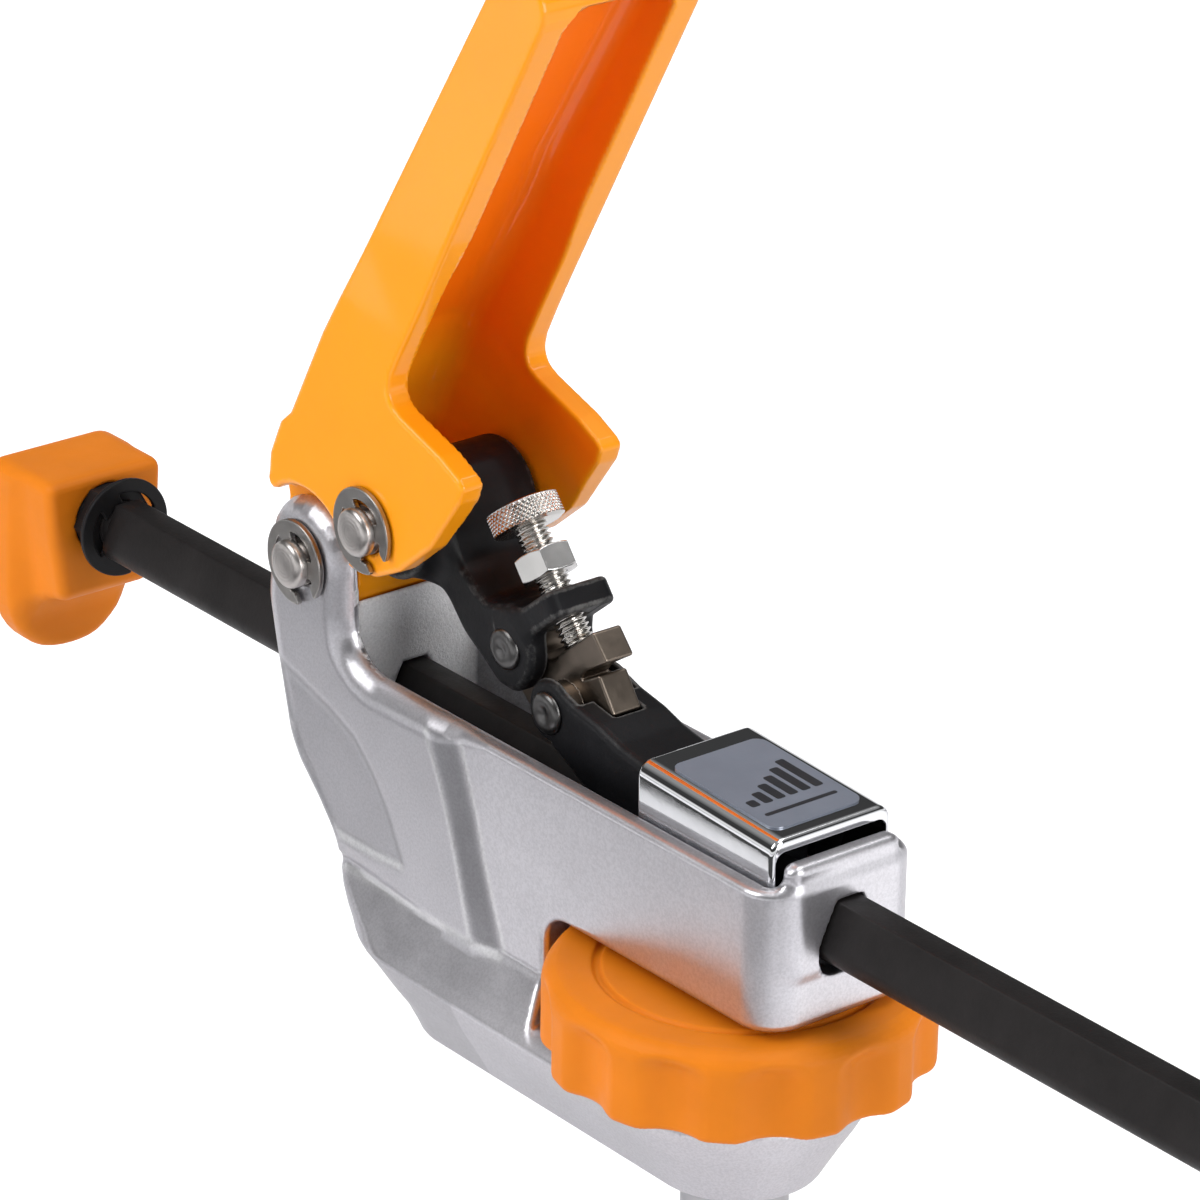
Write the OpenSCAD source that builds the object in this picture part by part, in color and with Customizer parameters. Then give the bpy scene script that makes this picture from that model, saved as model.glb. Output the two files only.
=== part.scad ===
// Bench dog clamp: an in-line toggle clamp on an expanding peg for a bench dog hole.
// Origin: on the peg's axis, at the bench surface. +X points along the rod to its tail,
// the jaw pad is at -X, and +Z is up. All lengths are in millimetres.

/* [Rod] */
// Length of the push rod
rod_len = 320; // [306:1:340]
// Width of the rod over its round lower corners
rod_w = 11.7; // [10.5:0.1:12.5]
// Width of the rod's flat top
rod_top_w = 5.2; // [4:0.1:7]
// Height of the rod's section
rod_h = 11.3; // [10:0.1:12.5]
// Radius of the rod's lower corners
rod_corner = 3.4; // [2:0.1:4.5]
// Distance from the handle pivot forward to the rod's front end
rod_reach = 95.6; // [90:0.1:104]
// Running gap between the rod and its holes
rod_gap = 0.3; // [0.2:0.05:0.5]
// Slack under the rod in the rear hole, where the grip plates tilt it
rear_slack = 2; // [1:0.1:2.5]

/* [Body] */
// Distance from the peg's axis back to the body's rear face
rear_x = 27; // [24:0.5:32]
// Distance from the peg's axis forward to the handle pivot
pivot_x = 103; // [98:1:110]
// Height of the handle pivot above the rod's top
pivot_rise = 20.7; // [18.5:0.5:23]
// Outer width of the body behind the bevel
body_w = 34.2; // [32:0.1:38]
// How far the front of the body stands proud on each side
proud = 1.3; // [0.8:0.1:2]
// Thickness of the channel's side walls
wall = 3.8; // [3:0.1:4.5]
// Thickness of the rear wall
rear_wall = 4; // [3:0.1:6]
// Thickness of the channel's floor
floor_t = 4.8; // [3:0.1:6]
// Gap between the rod's underside and the channel's floor
rod_drop = 6.2; // [5:0.1:8]
// Height of the side rim above the rod's top
rim_rise = 4; // [3:0.1:4.5]
// Height of the rear wall's raised middle above the rod's top
rear_rise = 8.3; // [6:0.1:9]
// Radius of the ears round the handle pivot
ear_r = 11.7; // [11:0.1:12.5]
// Radius of the body's rear corners in plan
rear_corner = 7.5; // [5:0.1:9]
// Radius of the body's front corners in plan
front_corner = 6; // [4:0.1:8]

/* [Foot] */
// Radius of the foot's rim, which is round in plan at both ends
foot_r = 24.8; // [22:0.1:27]
// Radius of the foot's flat underside
sole_r = 15; // [13:0.1:18]
// Height of the foot's rim above the bench
rim_h = 17.6; // [15:0.1:19]
// Height of the ledge where the flare meets the side
ledge_h = 28; // [26:0.5:32]
// Height of the plate that carries the knob
plate_h = 20; // [18.5:0.1:22]
// Distance between the centres of the foot's round ends
foot_len = 70; // [64:1:76]

/* [Peg and knob] */
// Diameter of the peg, for a bench dog hole
peg_d = 19; // [18:0.1:20]
// Length of the peg below the bench surface
peg_len = 28; // [22:1:36]
// Diameter of the peg's spigot in the foot
spigot_d = 16; // [14:0.1:17]
// Nominal diameter of the draw bolt
bolt_d = 8; // [6:0.5:8]
// Thread pitch of the draw bolt
bolt_pitch = 1.25; // [1:0.25:1.5]
// Full turns of the knob from loose to tight
knob_turns = 3; // [2:1:3]
// Diameter of the knob
knob_d = 68.6; // [62:0.2:72]
// Height of the knob
knob_h = 16.9; // [14:0.1:20]
// Number of finger scallops round the knob
scallops = 12; // [8:1:16]
// Thickness of the thrust washer under the knob
washer_t = 1.4; // [1:0.1:2]

/* [Handle] */
// Length of the handle from its pivot
handle_len = 140; // [125:1:160]
// Outer width of the handle
handle_w = 35.4; // [33:0.1:37]
// Thickness of the handle's cheeks
cheek_t = 4.1; // [3.5:0.1:4.5]
// Thickness of the handle's web
web_t = 3.6; // [3:0.1:5]
// Distance of the web's outer face ahead of the pivot line
handle_front = 17.4; // [16:0.1:19]
// Depth of the handle's channel section at its free end
tip_depth = 13; // [10:0.1:16]
// Lean of the handle above the rod, in degrees
handle_lean = 59; // [57:0.5:61]
// Distance between the handle's two pivots
crank_len = 22.8; // [22:0.1:24]
// Angle of the crank above the rod, in degrees
crank_angle = 33.2; // [31:0.1:36]
// Diameter of both pivot pins
pin_d = 9; // [8:0.1:9.5]
// Diameter of the retaining clips on the pivot pins
clip_d = 16; // [15:0.1:17]
// Thickness of the retaining clips
clip_t = 1.1; // [0.8:0.1:1.5]

/* [Linkage] */
// Distance from the link pivot to the lever rivet
link_len = 46.2; // [44:0.1:47]
// Angle of the link below the rod's direction, in degrees
link_angle = 30.7; // [29.5:0.1:32]
// Radius of the upper link's barrel
barrel_r = 10.5; // [9:0.1:11]
// Outer width of the upper link's arm
arm_w = 14.6; // [13.5:0.1:16]
// Thickness of the tongue
tongue_t = 6.2; // [5:0.1:7]
// Diameter of the rivets through the tongue
rivet_d = 6; // [5:0.1:6.5]
// Diameter of the rivets' peened heads
rivet_head_d = 7.8; // [7:0.1:8.5]
// Outer width of the lower lever
lever_w = 15.8; // [15:0.1:17]
// Sheet thickness of the lower lever
lever_t = 1.6; // [1.2:0.1:1.8]
// Distance from the lever rivet back to the lever's tail
lever_len = 40; // [37:0.5:42]

/* [Force screw] */
// Nominal diameter of the force screw
screw_d = 6; // [5:0.1:6.5]
// Thread pitch of the force screw
screw_pitch = 1; // [0.8:0.1:1.25]
// Lean of the screw's head towards the jaw, in degrees from upright
screw_lean = 39.2; // [37:0.1:41]
// Diameter of the knurled head
head_d = 13.3; // [12:0.1:15]
// Height of the knurled head
head_h = 4.6; // [4:0.1:6]
// Length of the screw from its tip to the top of its head
screw_len = 27; // [26:0.1:30]
// Width across the flats of the lock nut
nut_af = 10; // [9:0.1:11]
// Height of the lock nut
nut_h = 4.8; // [3:0.1:5.5]

/* [Cover] */
// Length of the lever cover
cover_len = 35.5; // [32:0.5:38]
// Sheet thickness of the lever cover
cover_t = 1; // [0.8:0.1:1.5]
// Height of the cover's top above the rod's top
cover_rise = 13.5; // [12.5:0.1:15]
// Radius of the cover's rolled edges
cover_bend = 2.6; // [2:0.1:4]

/* [Jaw pad] */
// Width of the jaw pad
pad_w = 28; // [26:0.5:32]
// Thickness of the pad's upper block, along the rod
pad_block = 18; // [16:0.5:22]
// Thickness of the pad's lower plate
pad_plate = 7.5; // [6:0.5:10]
// Height of the pad's top above the rod's top
pad_rise = 3; // [2:0.1:5]
// Depth of the pad's round lower end below the rod's top
pad_drop = 37.3; // [34:0.1:42]

/* [Hidden] */
$fn = 64;
// One overrun serves every cut
over = 1;
// Steps round each lower corner of the rod
corner_steps = 10;
// Running gap of a pin in its bore, on the radius
run = 0.05;
// Least gap between pieces that pass each other
pass = 0.3;

// Heights, from the bench up
knob_z = plate_h + washer_t + 0.1 * washer_t;
over_z = knob_z + knob_h + washer_t;
floor_z = over_z + floor_t;
rod_z = floor_z + rod_drop + rod_h;
rim_z = rod_z + rim_rise;
pivot_z = rod_z + pivot_rise;
cover_z = rod_z + cover_rise;

// Half widths
side_y = body_w / 2;
front_y = side_y + proud;
inner_y = side_y - wall;
cheek_y = handle_w / 2;
cheek_in = cheek_y - cheek_t;
ear_in = cheek_in + pass;

// Turns a point of a side view about the origin
function turned(p, a) = [p[0] * cos(a) - p[1] * sin(a), p[0] * sin(a) + p[1] * cos(a)];
// Shares of a size, placed in a side view that is turned by a and starts at o
function placed(shares, size, a, o) = [for (p = shares) o + turned(p * size, a)];

// Pivots in the side view, as X and Z
pivot_a = [-pivot_x, pivot_z];
pivot_b = pivot_a + turned([crank_len, 0], crank_angle);
pivot_d = pivot_b + turned([link_len, 0], -link_angle);
rivet_share = 0.68;
pivot_c = pivot_b + turned([link_len * rivet_share, 0], -link_angle);

// The screw's tip rests on the tongue's saddle
tip_shares = [0.862, 0.181];
screw_tip = pivot_b + turned(tip_shares * link_len, -link_angle);

// A flat side view, given depth along Y
module across(w) { rotate([90, 0, 0]) linear_extrude(w, center = true) children(); }
// A flat section across the rod, given length along X
module lengthwise(l) { rotate([90, 0, 90]) linear_extrude(l) children(); }
// A round bar across the clamp at a point of the side view
module bar(p, r, w) { translate([p[0], 0, p[1]]) rotate([90, 0, 0]) cylinder(r = r, h = w, center = true); }
module both_sides() {
    children();
    mirror([0, 1, 0]) children();
}
// Places what stands on the screw's axis, with Z from its tip to its head
module on_screw() { translate([screw_tip[0], 0, screw_tip[1]]) rotate([0, -screw_lean, 0]) children(); }
// A rectangle with round corners, centred on X, from height low to height high
module round_rect(w, low, high, r) {
    translate([-w / 2 + r, low]) square([w - 2 * r, high - low]);
    translate([-w / 2, low + r]) square([w, high - low - 2 * r]);
    for (x = [-1, 1], y = [low + r, high - r]) translate([x * (w / 2 - r), y]) circle(r);
}
// The foot's plan: two round ends and straight sides
module stadium(r) {
    translate([-foot_len, -r]) square([foot_len, 2 * r]);
    circle(r);
    translate([-foot_len, 0]) circle(r);
}

// The rod's section with a gap all round, its top at height zero
module rod_section(gap) {
    top = rod_top_w / 2 + gap / 2;
    mid = rod_w / 2 - rod_corner;
    low = rod_corner - rod_h;
    r = rod_corner + gap;
    span = norm([top - mid, gap - low]);
    start = atan2(low - gap, mid - top) + asin(r / span) + 90;
    arc = [for (i = [0:corner_steps]) let (a = start - i * (start + 90) / corner_steps)
        [mid + r * cos(a), low + r * sin(a)]];
    polygon(concat([[-top, gap], [top, gap]], arc, [for (i = [corner_steps:-1:0]) [-arc[i][0], arc[i][1]]]));
}

// Places what turns with the handle, with X along it and Z towards its web
module in_handle() { translate([pivot_a[0], 0, pivot_a[1]]) rotate([0, -handle_lean, 0]) children(); }
// Places what turns with the upper link, with X from its pivot to the lever rivet
module in_link() { translate([pivot_b[0], 0, pivot_b[1]]) rotate([0, link_angle, 0]) children(); }
// A retaining clip with three prongs in a groove of radius r, lying flat
module clip_plan(outer, r) {
    difference() {
        circle(outer);
        circle(r);
        difference() {
            circle(outer - (outer - r) / 2);
            for (a = [-30, 90, 210]) rotate(a) translate([0, -r / 2]) square([outer, r]);
        }
        rotate(-90) translate([-r * 0.75, 0]) square([r * 1.5, outer + over]);
    }
}
// The same clip across the clamp, its inner face at height y, its mouth turned by a
module clip_at(p, y, mouth) {
    translate([p[0], -y, p[1]]) rotate([90, 0, 0]) rotate(mouth)
        linear_extrude(clip_t) clip_plan(clip_d / 2, groove_r);
}
// A pin with chamfered ends and a groove for a clip at each end
module grooved_pin(p, y) {
    tip = pin_d / 10;
    half = y + clip_t + run + 2 * clip_t;
    translate([p[0], 0, p[1]]) rotate([90, 0, 0]) rotate_extrude() polygon([
        [0, -half], [pin_d / 2 - tip, -half], [pin_d / 2, tip - half],
        [pin_d / 2, -y - clip_t - run], [groove_r - run, -y - clip_t - run], [groove_r - run, run - y],
        [pin_d / 2, run - y], [pin_d / 2, y - run], [groove_r - run, y - run],
        [groove_r - run, y + clip_t + run], [pin_d / 2, y + clip_t + run],
        [pin_d / 2, half - tip], [pin_d / 2 - tip, half], [0, half]]);
}
// A rivet with low domed heads at half width y
module rivet_at(p, y) {
    rise = rivet_d / 5;
    translate([p[0], 0, p[1]]) rotate([90, 0, 0]) rotate_extrude() polygon([
        [0, -y - rise], [rivet_head_d / 2 - rise, -y - rise], [rivet_head_d / 2, -y - rise / 3],
        [rivet_head_d / 2, -y], [rivet_d / 2, -y], [rivet_d / 2, y], [rivet_head_d / 2, y],
        [rivet_head_d / 2, y + rise / 3], [rivet_head_d / 2 - rise, y + rise], [0, y + rise]]);
}
groove_r = 0.39 * pin_d;

// Body. The front's outline runs from the ear down to the foot, in shares of the pivot's place
front_shares = [[1.113, 1.03], [1.129, 0.88], [1.102, 0.736], [1.065, 0.559], [1.035, 0.5],
                [0.978, 0.432], [0.932, 0.367], [0.914, 0.3], [0.911, 0.213]];
// The ear's back runs into the rim, in shares of the ear's radius
ear_shares = [[1, 0], [1, -0.7], [1.03, -0.95], [1.15, -1.17], [1.4, -1.345]];
ear_run_share = 1.74;
// The cross wall under the pivot, in shares of the ear's radius
cross_shares = [[0.88, -0.48], [0.7, -0.48], [-1.1, -0.88]];
// The foot's section: each share of the radius beyond the sole, and of the rim's height
bowl_shares = [[0, 0], [0.16, 0.16], [0.43, 0.415], [0.745, 0.693], [1, 1]];
flare_shares = [[0.74, 0.2], [0.35, 0.6], [0, 1]];
bevel_top = 0.92;
bevel_low = 0.755;
hub_r = 0.94 * ear_r;
window_gap = 2.4;
window_r = knob_d / 2 + window_gap;
cross_back = pivot_x - cross_shares[0][0] * ear_r;
lean_run = (front_shares[1][0] - front_shares[3][0]) * pivot_x;
lean_rise = (front_shares[1][1] - front_shares[3][1]) * pivot_z;
front_lean = atan(lean_run / lean_rise);
foot_profile = concat(
    [[0, 0]],
    [for (s = bowl_shares) [sole_r + s[0] * (foot_r - sole_r), s[1] * rim_h]],
    [for (s = flare_shares) [side_y + s[0] * (foot_r - side_y), rim_h + s[1] * (ledge_h - rim_h)]],
    [[0, ledge_h]]);

module foot() {
    rotate_extrude() polygon(foot_profile);
    translate([-foot_len, 0, 0]) rotate_extrude() polygon(foot_profile);
    translate([-foot_len, 0, 0]) lengthwise(foot_len)
        polygon(concat(foot_profile, [for (i = [len(foot_profile) - 2:-1:1]) [-foot_profile[i][0], foot_profile[i][1]]]));
}
// The side view of the column over the foot, from the rim back to x
module column_view(top_x, low_x) {
    polygon(concat(
        [for (s = front_shares) [-s[0] * pivot_x, s[1] * pivot_z]],
        [[-low_x, rim_h], [-top_x, rim_z], [ear_run_share * ear_r - pivot_x, rim_z]],
        [for (i = [len(ear_shares) - 1:-1:0]) pivot_a + ear_shares[i] * ear_r]));
    translate(pivot_a) circle(ear_r);
}
module body_casting() {
    color([0.74, 0.75, 0.77]) difference() {
        union() {
            foot();
            // The column and the ears, with the front's upright corners rounded
            intersection() {
                union() {
                    across(2 * front_y) column_view(pivot_x * bevel_top * 0.64, pivot_x * bevel_low * 0.67);
                    across(body_w) column_view(window_r, window_r);
                }
                translate([-front_shares[1][0] * pivot_x, 0, front_shares[1][1] * pivot_z])
                    rotate([0, -front_lean, 0]) translate([0, 0, -pivot_z]) linear_extrude(2 * pivot_z)
                        translate([0, -front_y]) union() {
                            translate([front_corner, 0]) square([pivot_x, 2 * front_y]);
                            translate([0, front_corner]) square([pivot_x, 2 * (front_y - front_corner)]);
                            for (y = [front_corner, 2 * front_y - front_corner]) translate([front_corner, y])
                                circle(front_corner);
                        }
            }
            // The beam over the knob, with round rear corners
            translate([0, 0, over_z]) linear_extrude(rim_z - over_z) beam_plan();
            translate([rear_x - rear_wall, 0, over_z]) lengthwise(rear_wall)
                translate([0, -over_z]) round_rect(2 * (inner_y - cover_t), over_z + floor_t, rod_z + rear_rise, cover_bend);
        }
        // The channel, open at the top
        translate([-cross_back, -inner_y, floor_z])
            cube([cross_back + rear_x - rear_wall, 2 * inner_y, pivot_z]);
        // The space between the ears
        across(2 * ear_in) polygon(concat(
            [for (s = cross_shares) pivot_a + s * ear_r],
            [[-pivot_x - 2 * ear_r, pivot_z - ear_r], [-pivot_x - 2 * ear_r, 2 * pivot_z],
             [-cross_back, 2 * pivot_z]]));
        bar(pivot_a, hub_r + pass, 2 * ear_in);
        bar(pivot_a, pin_d / 2 + run, 2 * front_y + over);
        // The way for the rod, front and rear
        translate([-pivot_x - 2 * ear_r, 0, rod_z]) lengthwise(pivot_x + 2 * ear_r) rod_section(rod_gap);
        translate([0, 0, rod_z]) lengthwise(2 * rear_x) {
            rod_section(rod_gap);
            translate([0, -rear_slack]) rod_section(rod_gap);
        }
        // The window that the knob turns in
        translate([0, 0, plate_h]) cylinder(r = window_r, h = over_z - plate_h, $fn = 128);
        translate([0, 0, plate_h]) linear_extrude(over_z - plate_h) translate([0, -front_y - foot_r])
            square([2 * rear_x, 2 * (front_y + foot_r)]);
        // The peg's socket and spigot, and the draw bolt
        translate([0, 0, -over]) cylinder(r = peg_d / 2 + pass, h = socket_h + over);
        translate([0, 0, -over]) cylinder(r = spigot_d / 2, h = spigot_h + over);
        translate([0, 0, -over]) cylinder(r = bolt_d / 2 + pass, h = plate_h + 2 * over);
    }
}
spigot_h = 0.7 * plate_h;
// The peg's collar seats in a socket that clears the peg's full width
socket_h = 0.1 * plate_h;
collar_r = 0.95 * peg_d / 2;
module beam_plan() {
    translate([-window_r, -side_y]) square([window_r + rear_x - rear_corner, body_w]);
    translate([-window_r, rear_corner - side_y]) square([window_r + rear_x, body_w - 2 * rear_corner]);
    for (y = [rear_corner - side_y, side_y - rear_corner]) translate([rear_x - rear_corner, y]) circle(rear_corner);
}

// Peg: a sleeve with four slots, opened by a cone that the draw bolt pulls up
slot_w = 1.6;
slot_h = 0.7 * peg_len;
seat_h = 0.36 * peg_len;
seat_r = 0.78 * peg_d / 2;
throat_r = bolt_d / 2 + 1.25 * slot_w;
peg_run = knob_turns * bolt_pitch;
cone_base = 0.1 * peg_d;
module dog_peg() {
    color([0.7, 0.7, 0.72]) difference() {
        union() {
            translate([0, 0, -peg_len]) cylinder(r = peg_d / 2, h = peg_len);
            cylinder(r = collar_r, h = socket_h);
            cylinder(r = spigot_d / 2, h = spigot_h);
        }
        translate([0, 0, -peg_len - over]) cylinder(r = bolt_d / 2 + pass, h = peg_len + spigot_h + 2 * over);
        rotate_extrude() polygon([[0, -peg_len - over], [seat_r, -peg_len - over], [seat_r, -peg_len],
            [throat_r, seat_h - peg_len], [0, seat_h - peg_len]]);
        for (a = [45, 135]) rotate(a) translate([-peg_d, -slot_w / 2, -peg_len - over])
            cube([2 * peg_d, slot_w, slot_h + over]);
    }
}
cone_drop = peg_run + slot_w;
module peg_cone() {
    low = -peg_len - cone_drop;
    slope = (seat_r - throat_r) / seat_h;
    base_r = seat_r - pass;
    color([0.35, 0.35, 0.37]) difference() {
        rotate_extrude() polygon([[0, low - cone_base], [base_r - cone_base / 2, low - cone_base],
            [base_r, low - cone_base / 2], [base_r, low],
            [base_r - slope * 0.9 * seat_h, low + 0.9 * seat_h], [0, low + 0.9 * seat_h]]);
        translate([0, 0, low - cone_base - over]) cylinder(r = bolt_d / 2, h = seat_h + cone_base + 2 * over);
    }
}
head_low = -peg_len - cone_drop - cone_base;
bolt_head = 0.55 * bolt_d;
bolt_top = knob_z + 0.65 * knob_h;
module draw_bolt() {
    color([0.45, 0.45, 0.47]) {
        translate([0, 0, head_low]) cylinder(r = bolt_d / 2, h = bolt_top - head_low);
        translate([0, 0, head_low - bolt_head]) cylinder(r = 0.8 * bolt_d, h = bolt_head, $fn = 6);
    }
}

// Knob
top_round = 0.2 * knob_h;
groove_w = 1.2;
hub_hex = 1.6 * bolt_d;
nut_deep = 0.8 * bolt_d;
scallop_r = 0.24 * knob_d / 2;
scallop_h = knob_h - 1.8 * top_round;
ring_r = 0.723 * knob_d / 2;
module clamp_knob() {
    r = knob_d / 2;
    color([0.96, 0.55, 0.12]) translate([0, 0, knob_z]) difference() {
        rotate_extrude($fn = 96) polygon(concat(
            [[0, 0], [r - top_round / 2, 0], [r, top_round / 2]],
            [for (a = [0:15:90]) [r - top_round + top_round * cos(a), knob_h - top_round + top_round * sin(a)]],
            [[ring_r + groove_w / 2, knob_h], [ring_r, knob_h - groove_w / 2], [ring_r - groove_w / 2, knob_h],
             [0, knob_h]]));
        for (i = [0:scallops - 1]) rotate(i * 360 / scallops)
            translate([r + 0.72 * scallop_r, 0, -over]) cylinder(r = scallop_r, h = scallop_h + over);
        translate([0, 0, -over]) cylinder(r = hub_hex / sqrt(3) + run, h = nut_deep + over, $fn = 6);
        translate([0, 0, -over]) cylinder(r = bolt_d / 2 + pass, h = knob_h + 2 * over);
    }
}
module knob_nut() {
    color([0.8, 0.68, 0.35]) translate([0, 0, knob_z]) difference() {
        cylinder(r = hub_hex / sqrt(3), h = nut_deep - run, $fn = 6);
        translate([0, 0, -over]) cylinder(r = bolt_d / 2 + run, h = nut_deep + 2 * over);
    }
}
module thrust_washer() {
    color([0.78, 0.78, 0.8]) translate([0, 0, plate_h]) difference() {
        cylinder(r = hub_hex * 0.85, h = washer_t);
        translate([0, 0, -over]) cylinder(r = bolt_d / 2 + pass, h = washer_t + 2 * over);
    }
}

module body_pivot_pin() { color([0.55, 0.52, 0.5]) grooved_pin(pivot_a, front_y + pass); }
module body_pivot_clips() {
    color([0.62, 0.6, 0.58]) both_sides() clip_at(pivot_a, front_y + pass, -35);
}

// Cover over the lever's tail and the grip plates
cover_back = rear_x - rear_wall - 0.5 * cover_t;
cover_tilt = 2.6;
cover_y = inner_y - pass;
module lever_cover() {
    color([0.9, 0.9, 0.92]) difference() {
        translate([cover_back - cover_len, 0, 0]) lengthwise(cover_len)
            round_rect(2 * cover_y, floor_z, cover_z, cover_bend);
        translate([cover_back - cover_len - over, 0, 0]) lengthwise(cover_len + 2 * over)
            round_rect(2 * (cover_y - cover_t), floor_z - over, cover_z - cover_tip - cover_t, cover_bend - cover_t);
        // The top falls towards the tail
        translate([cover_back - cover_len, -inner_y, cover_z]) rotate([0, cover_tilt, 0])
            cube([2 * cover_len, 2 * inner_y, cover_z]);
        translate([cover_back - cover_len - over, -inner_y, floor_z - over])
            cube([0.55 * cover_len + over, 2 * inner_y, 0.5 * rod_h + rod_drop + over]);
    }
}
cover_tip = cover_len * sin(cover_tilt);
label_t = 0.3;
label_share = [0.78, 0.76];
module label_plate() {
    color([0.6, 0.65, 0.72]) translate([cover_back - cover_len, 0, cover_z]) rotate([0, cover_tilt, 0])
        translate([cover_len * 0.52, 0, run]) linear_extrude(label_t) rotate(90)
            round_rect(2 * cover_y * label_share[1], -cover_len * label_share[0] / 2, cover_len * label_share[0] / 2, cover_bend);
}

// Handle. The fork's outline round both pivots, in shares of the crank's length, front then rear
fork_front_shares = [[1.84, 0.83], [0.94, 0.76], [0.77, 0.815], [0.45, 0.78], [0.2, 0.67], [0.19, 0.53]];
fork_back_shares = [[0.26, 0], [0.4, -0.4], [0.63, -0.72], [0.93, -0.91], [1.4, -1.075], [2.02, -1.13],
                    [2.16, -1.1], [2.175, -1.02], [2.15, -0.76], [2.03, -0.25], [2.02, -0.12],
                    [2.08, -0.03], [2.2, 0.012], [2.5, 0.03]];
// The web's inner face, in shares of the crank's length
web_shares = [[0.2, 0.5], [0.86, 0.6]];
bridge_shares = [[-0.04, 0.47], [0.2, 0.67], [0.45, 0.78], [0.77, 0.815], [0.93, 0.62], [0.52, 0.06], [0.2, 0]];
tip_front = 0.94 * handle_front;
tip_back = tip_front - tip_depth;
tip_r = 0.45 * tip_depth;
module tip_round(gap) {
    translate([handle_len - tip_r, tip_front - tip_r]) circle(tip_r - gap);
    translate([handle_len - tip_r, tip_back + tip_r]) circle(tip_r - gap);
}
module cheek_view() {
    polygon(concat(
        [[handle_len - tip_r, tip_front]], fork_front_shares * crank_len, fork_back_shares * crank_len,
        [[handle_len - tip_r, tip_back]]));
    tip_round(0);
    translate([handle_len - 2 * tip_r, tip_back + tip_r]) square([2 * tip_r, tip_depth - 2 * tip_r]);
}
module web_view() {
    polygon(concat(
        [[handle_len - tip_r, tip_front]], fork_front_shares * crank_len,
        web_shares * crank_len,
        [[1.84 * crank_len, 0.83 * crank_len - web_t], [handle_len - tip_r, tip_front - web_t]]));
    // The rounded end wall
    difference() {
        union() {
            tip_round(0);
            translate([handle_len - 2 * tip_r, tip_back + tip_r]) square([2 * tip_r, tip_depth - 2 * tip_r]);
        }
        translate([0, tip_back - over]) square([handle_len - web_t, tip_depth - web_t + over]);
    }
}
relief_r = ear_r + 7 * pass;
hub_y = cheek_in - pass;
module handle() {
    color([1, 0.6, 0.08]) difference() {
        in_handle() union() {
            // Cheeks, cut away round the body's ears
            both_sides() translate([0, -cheek_in, 0]) rotate([90, 0, 0]) linear_extrude(cheek_t) difference() {
                cheek_view();
                circle(relief_r);
            }
            across(2 * cheek_in + cheek_t) difference() {
                web_view();
                circle(relief_r);
            }
            // The hub between the ears, and the bridge from it to the web
            across(2 * hub_y) {
                circle(hub_r);
                intersection() {
                    polygon(bridge_shares * crank_len);
                    circle(relief_r + pass);
                }
            }
        }
        bar(pivot_a, pin_d / 2 + run, handle_w + over);
        bar(pivot_b, pin_d / 2 + run, handle_w + over);
    }
}
module link_pivot_pin() { color([0.55, 0.52, 0.5]) grooved_pin(pivot_b, cheek_y + pass); }
module link_pivot_clips() {
    color([0.62, 0.6, 0.58]) both_sides() clip_at(pivot_b, cheek_y + pass, -20);
}

// Upper link. Its arm, in shares of the link's length
arm_shares = [[0, 0.2], [0.3, 0.06], [0.5, 0.05], [0.6, 0.17], [0.72, 0.13], [0.84, 0.02], [0.82, -0.12],
              [0.72, -0.17], [0.6, -0.165], [0.46, -0.165], [0.3, -0.12], [0, -0.2]];
barrel_y = cheek_in - 2.5 * pass;
clevis_r = 0.155 * link_len;
tongue_hub_r = 0.12 * link_len;
eye_low = 4.6;
eye_t = 5;
eye_r = 0.48 * arm_w;
eye_back_share = 0.22;
rivet_c = turned(pivot_c - screw_tip, -screw_lean);
module upper_link() {
    color([0.13, 0.13, 0.14]) difference() {
        union() {
            bar(pivot_b, barrel_r, 2 * barrel_y);
            in_link() across(arm_w) {
                polygon(arm_shares * link_len);
                translate([rivet_share * link_len, 0]) circle(clevis_r);
            }
            on_screw() translate([0, 0, eye_low]) linear_extrude(eye_t) {
                circle(eye_r);
                translate([-eye_back_share * link_len, -eye_r]) square([eye_back_share * link_len, 2 * eye_r]);
            }
        }
        bar(pivot_b, pin_d / 2 + run, 2 * barrel_y + over);
        // The slot for the tongue
        on_screw() across(tongue_t + 2 * pass) {
            translate([-0.42 * link_len, eye_low - link_len]) square(link_len);
            translate(rivet_c) circle(tongue_hub_r + pass);
        }
        on_screw() translate([0, 0, -over]) cylinder(r = screw_d / 2 + run, h = link_len);
        bar(pivot_c, rivet_d / 2 + run, arm_w + over);
    }
}
lever_nose_r = 0.13 * link_len;

// Tongue, seen in the screw's frame, in shares of the link's length
tongue_shares = [[-0.19, 0.12], [-0.135, 0.03], [-0.125, -0.012], [-0.08, -0.012], [-0.07, -0.003],
                 [0.2, -0.003], [0.208, -0.13], [0.07, -0.115], [-0.015, -0.13], [0.13, -0.155],
                 [0.125, -0.262], [0.05, -0.245], [-0.03, -0.2], [-0.12, -0.28], [-0.23, -0.29],
                 [-0.366, -0.1], [-0.385, -0.005], [-0.34, 0.12]];
module tongue() {
    color([0.45, 0.4, 0.36]) difference() {
        union() {
            on_screw() across(tongue_t) {
                polygon(tongue_shares * link_len);
                translate(rivet_c) circle(tongue_hub_r);
            }
            bar(pivot_d, rivet_d / 2 + lever_t, lever_w - 2 * lever_t - 2 * pass);
        }
        bar(pivot_c, rivet_d / 2 + run, arm_w);
        bar(pivot_d, rivet_d / 2 + run, lever_w);
    }
}
module tongue_rivet() { color([0.4, 0.39, 0.38]) rivet_at(pivot_c, arm_w / 2 + run); }
module lever_rivet() { color([0.4, 0.39, 0.38]) rivet_at(pivot_d, lever_w / 2 + run); }

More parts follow.
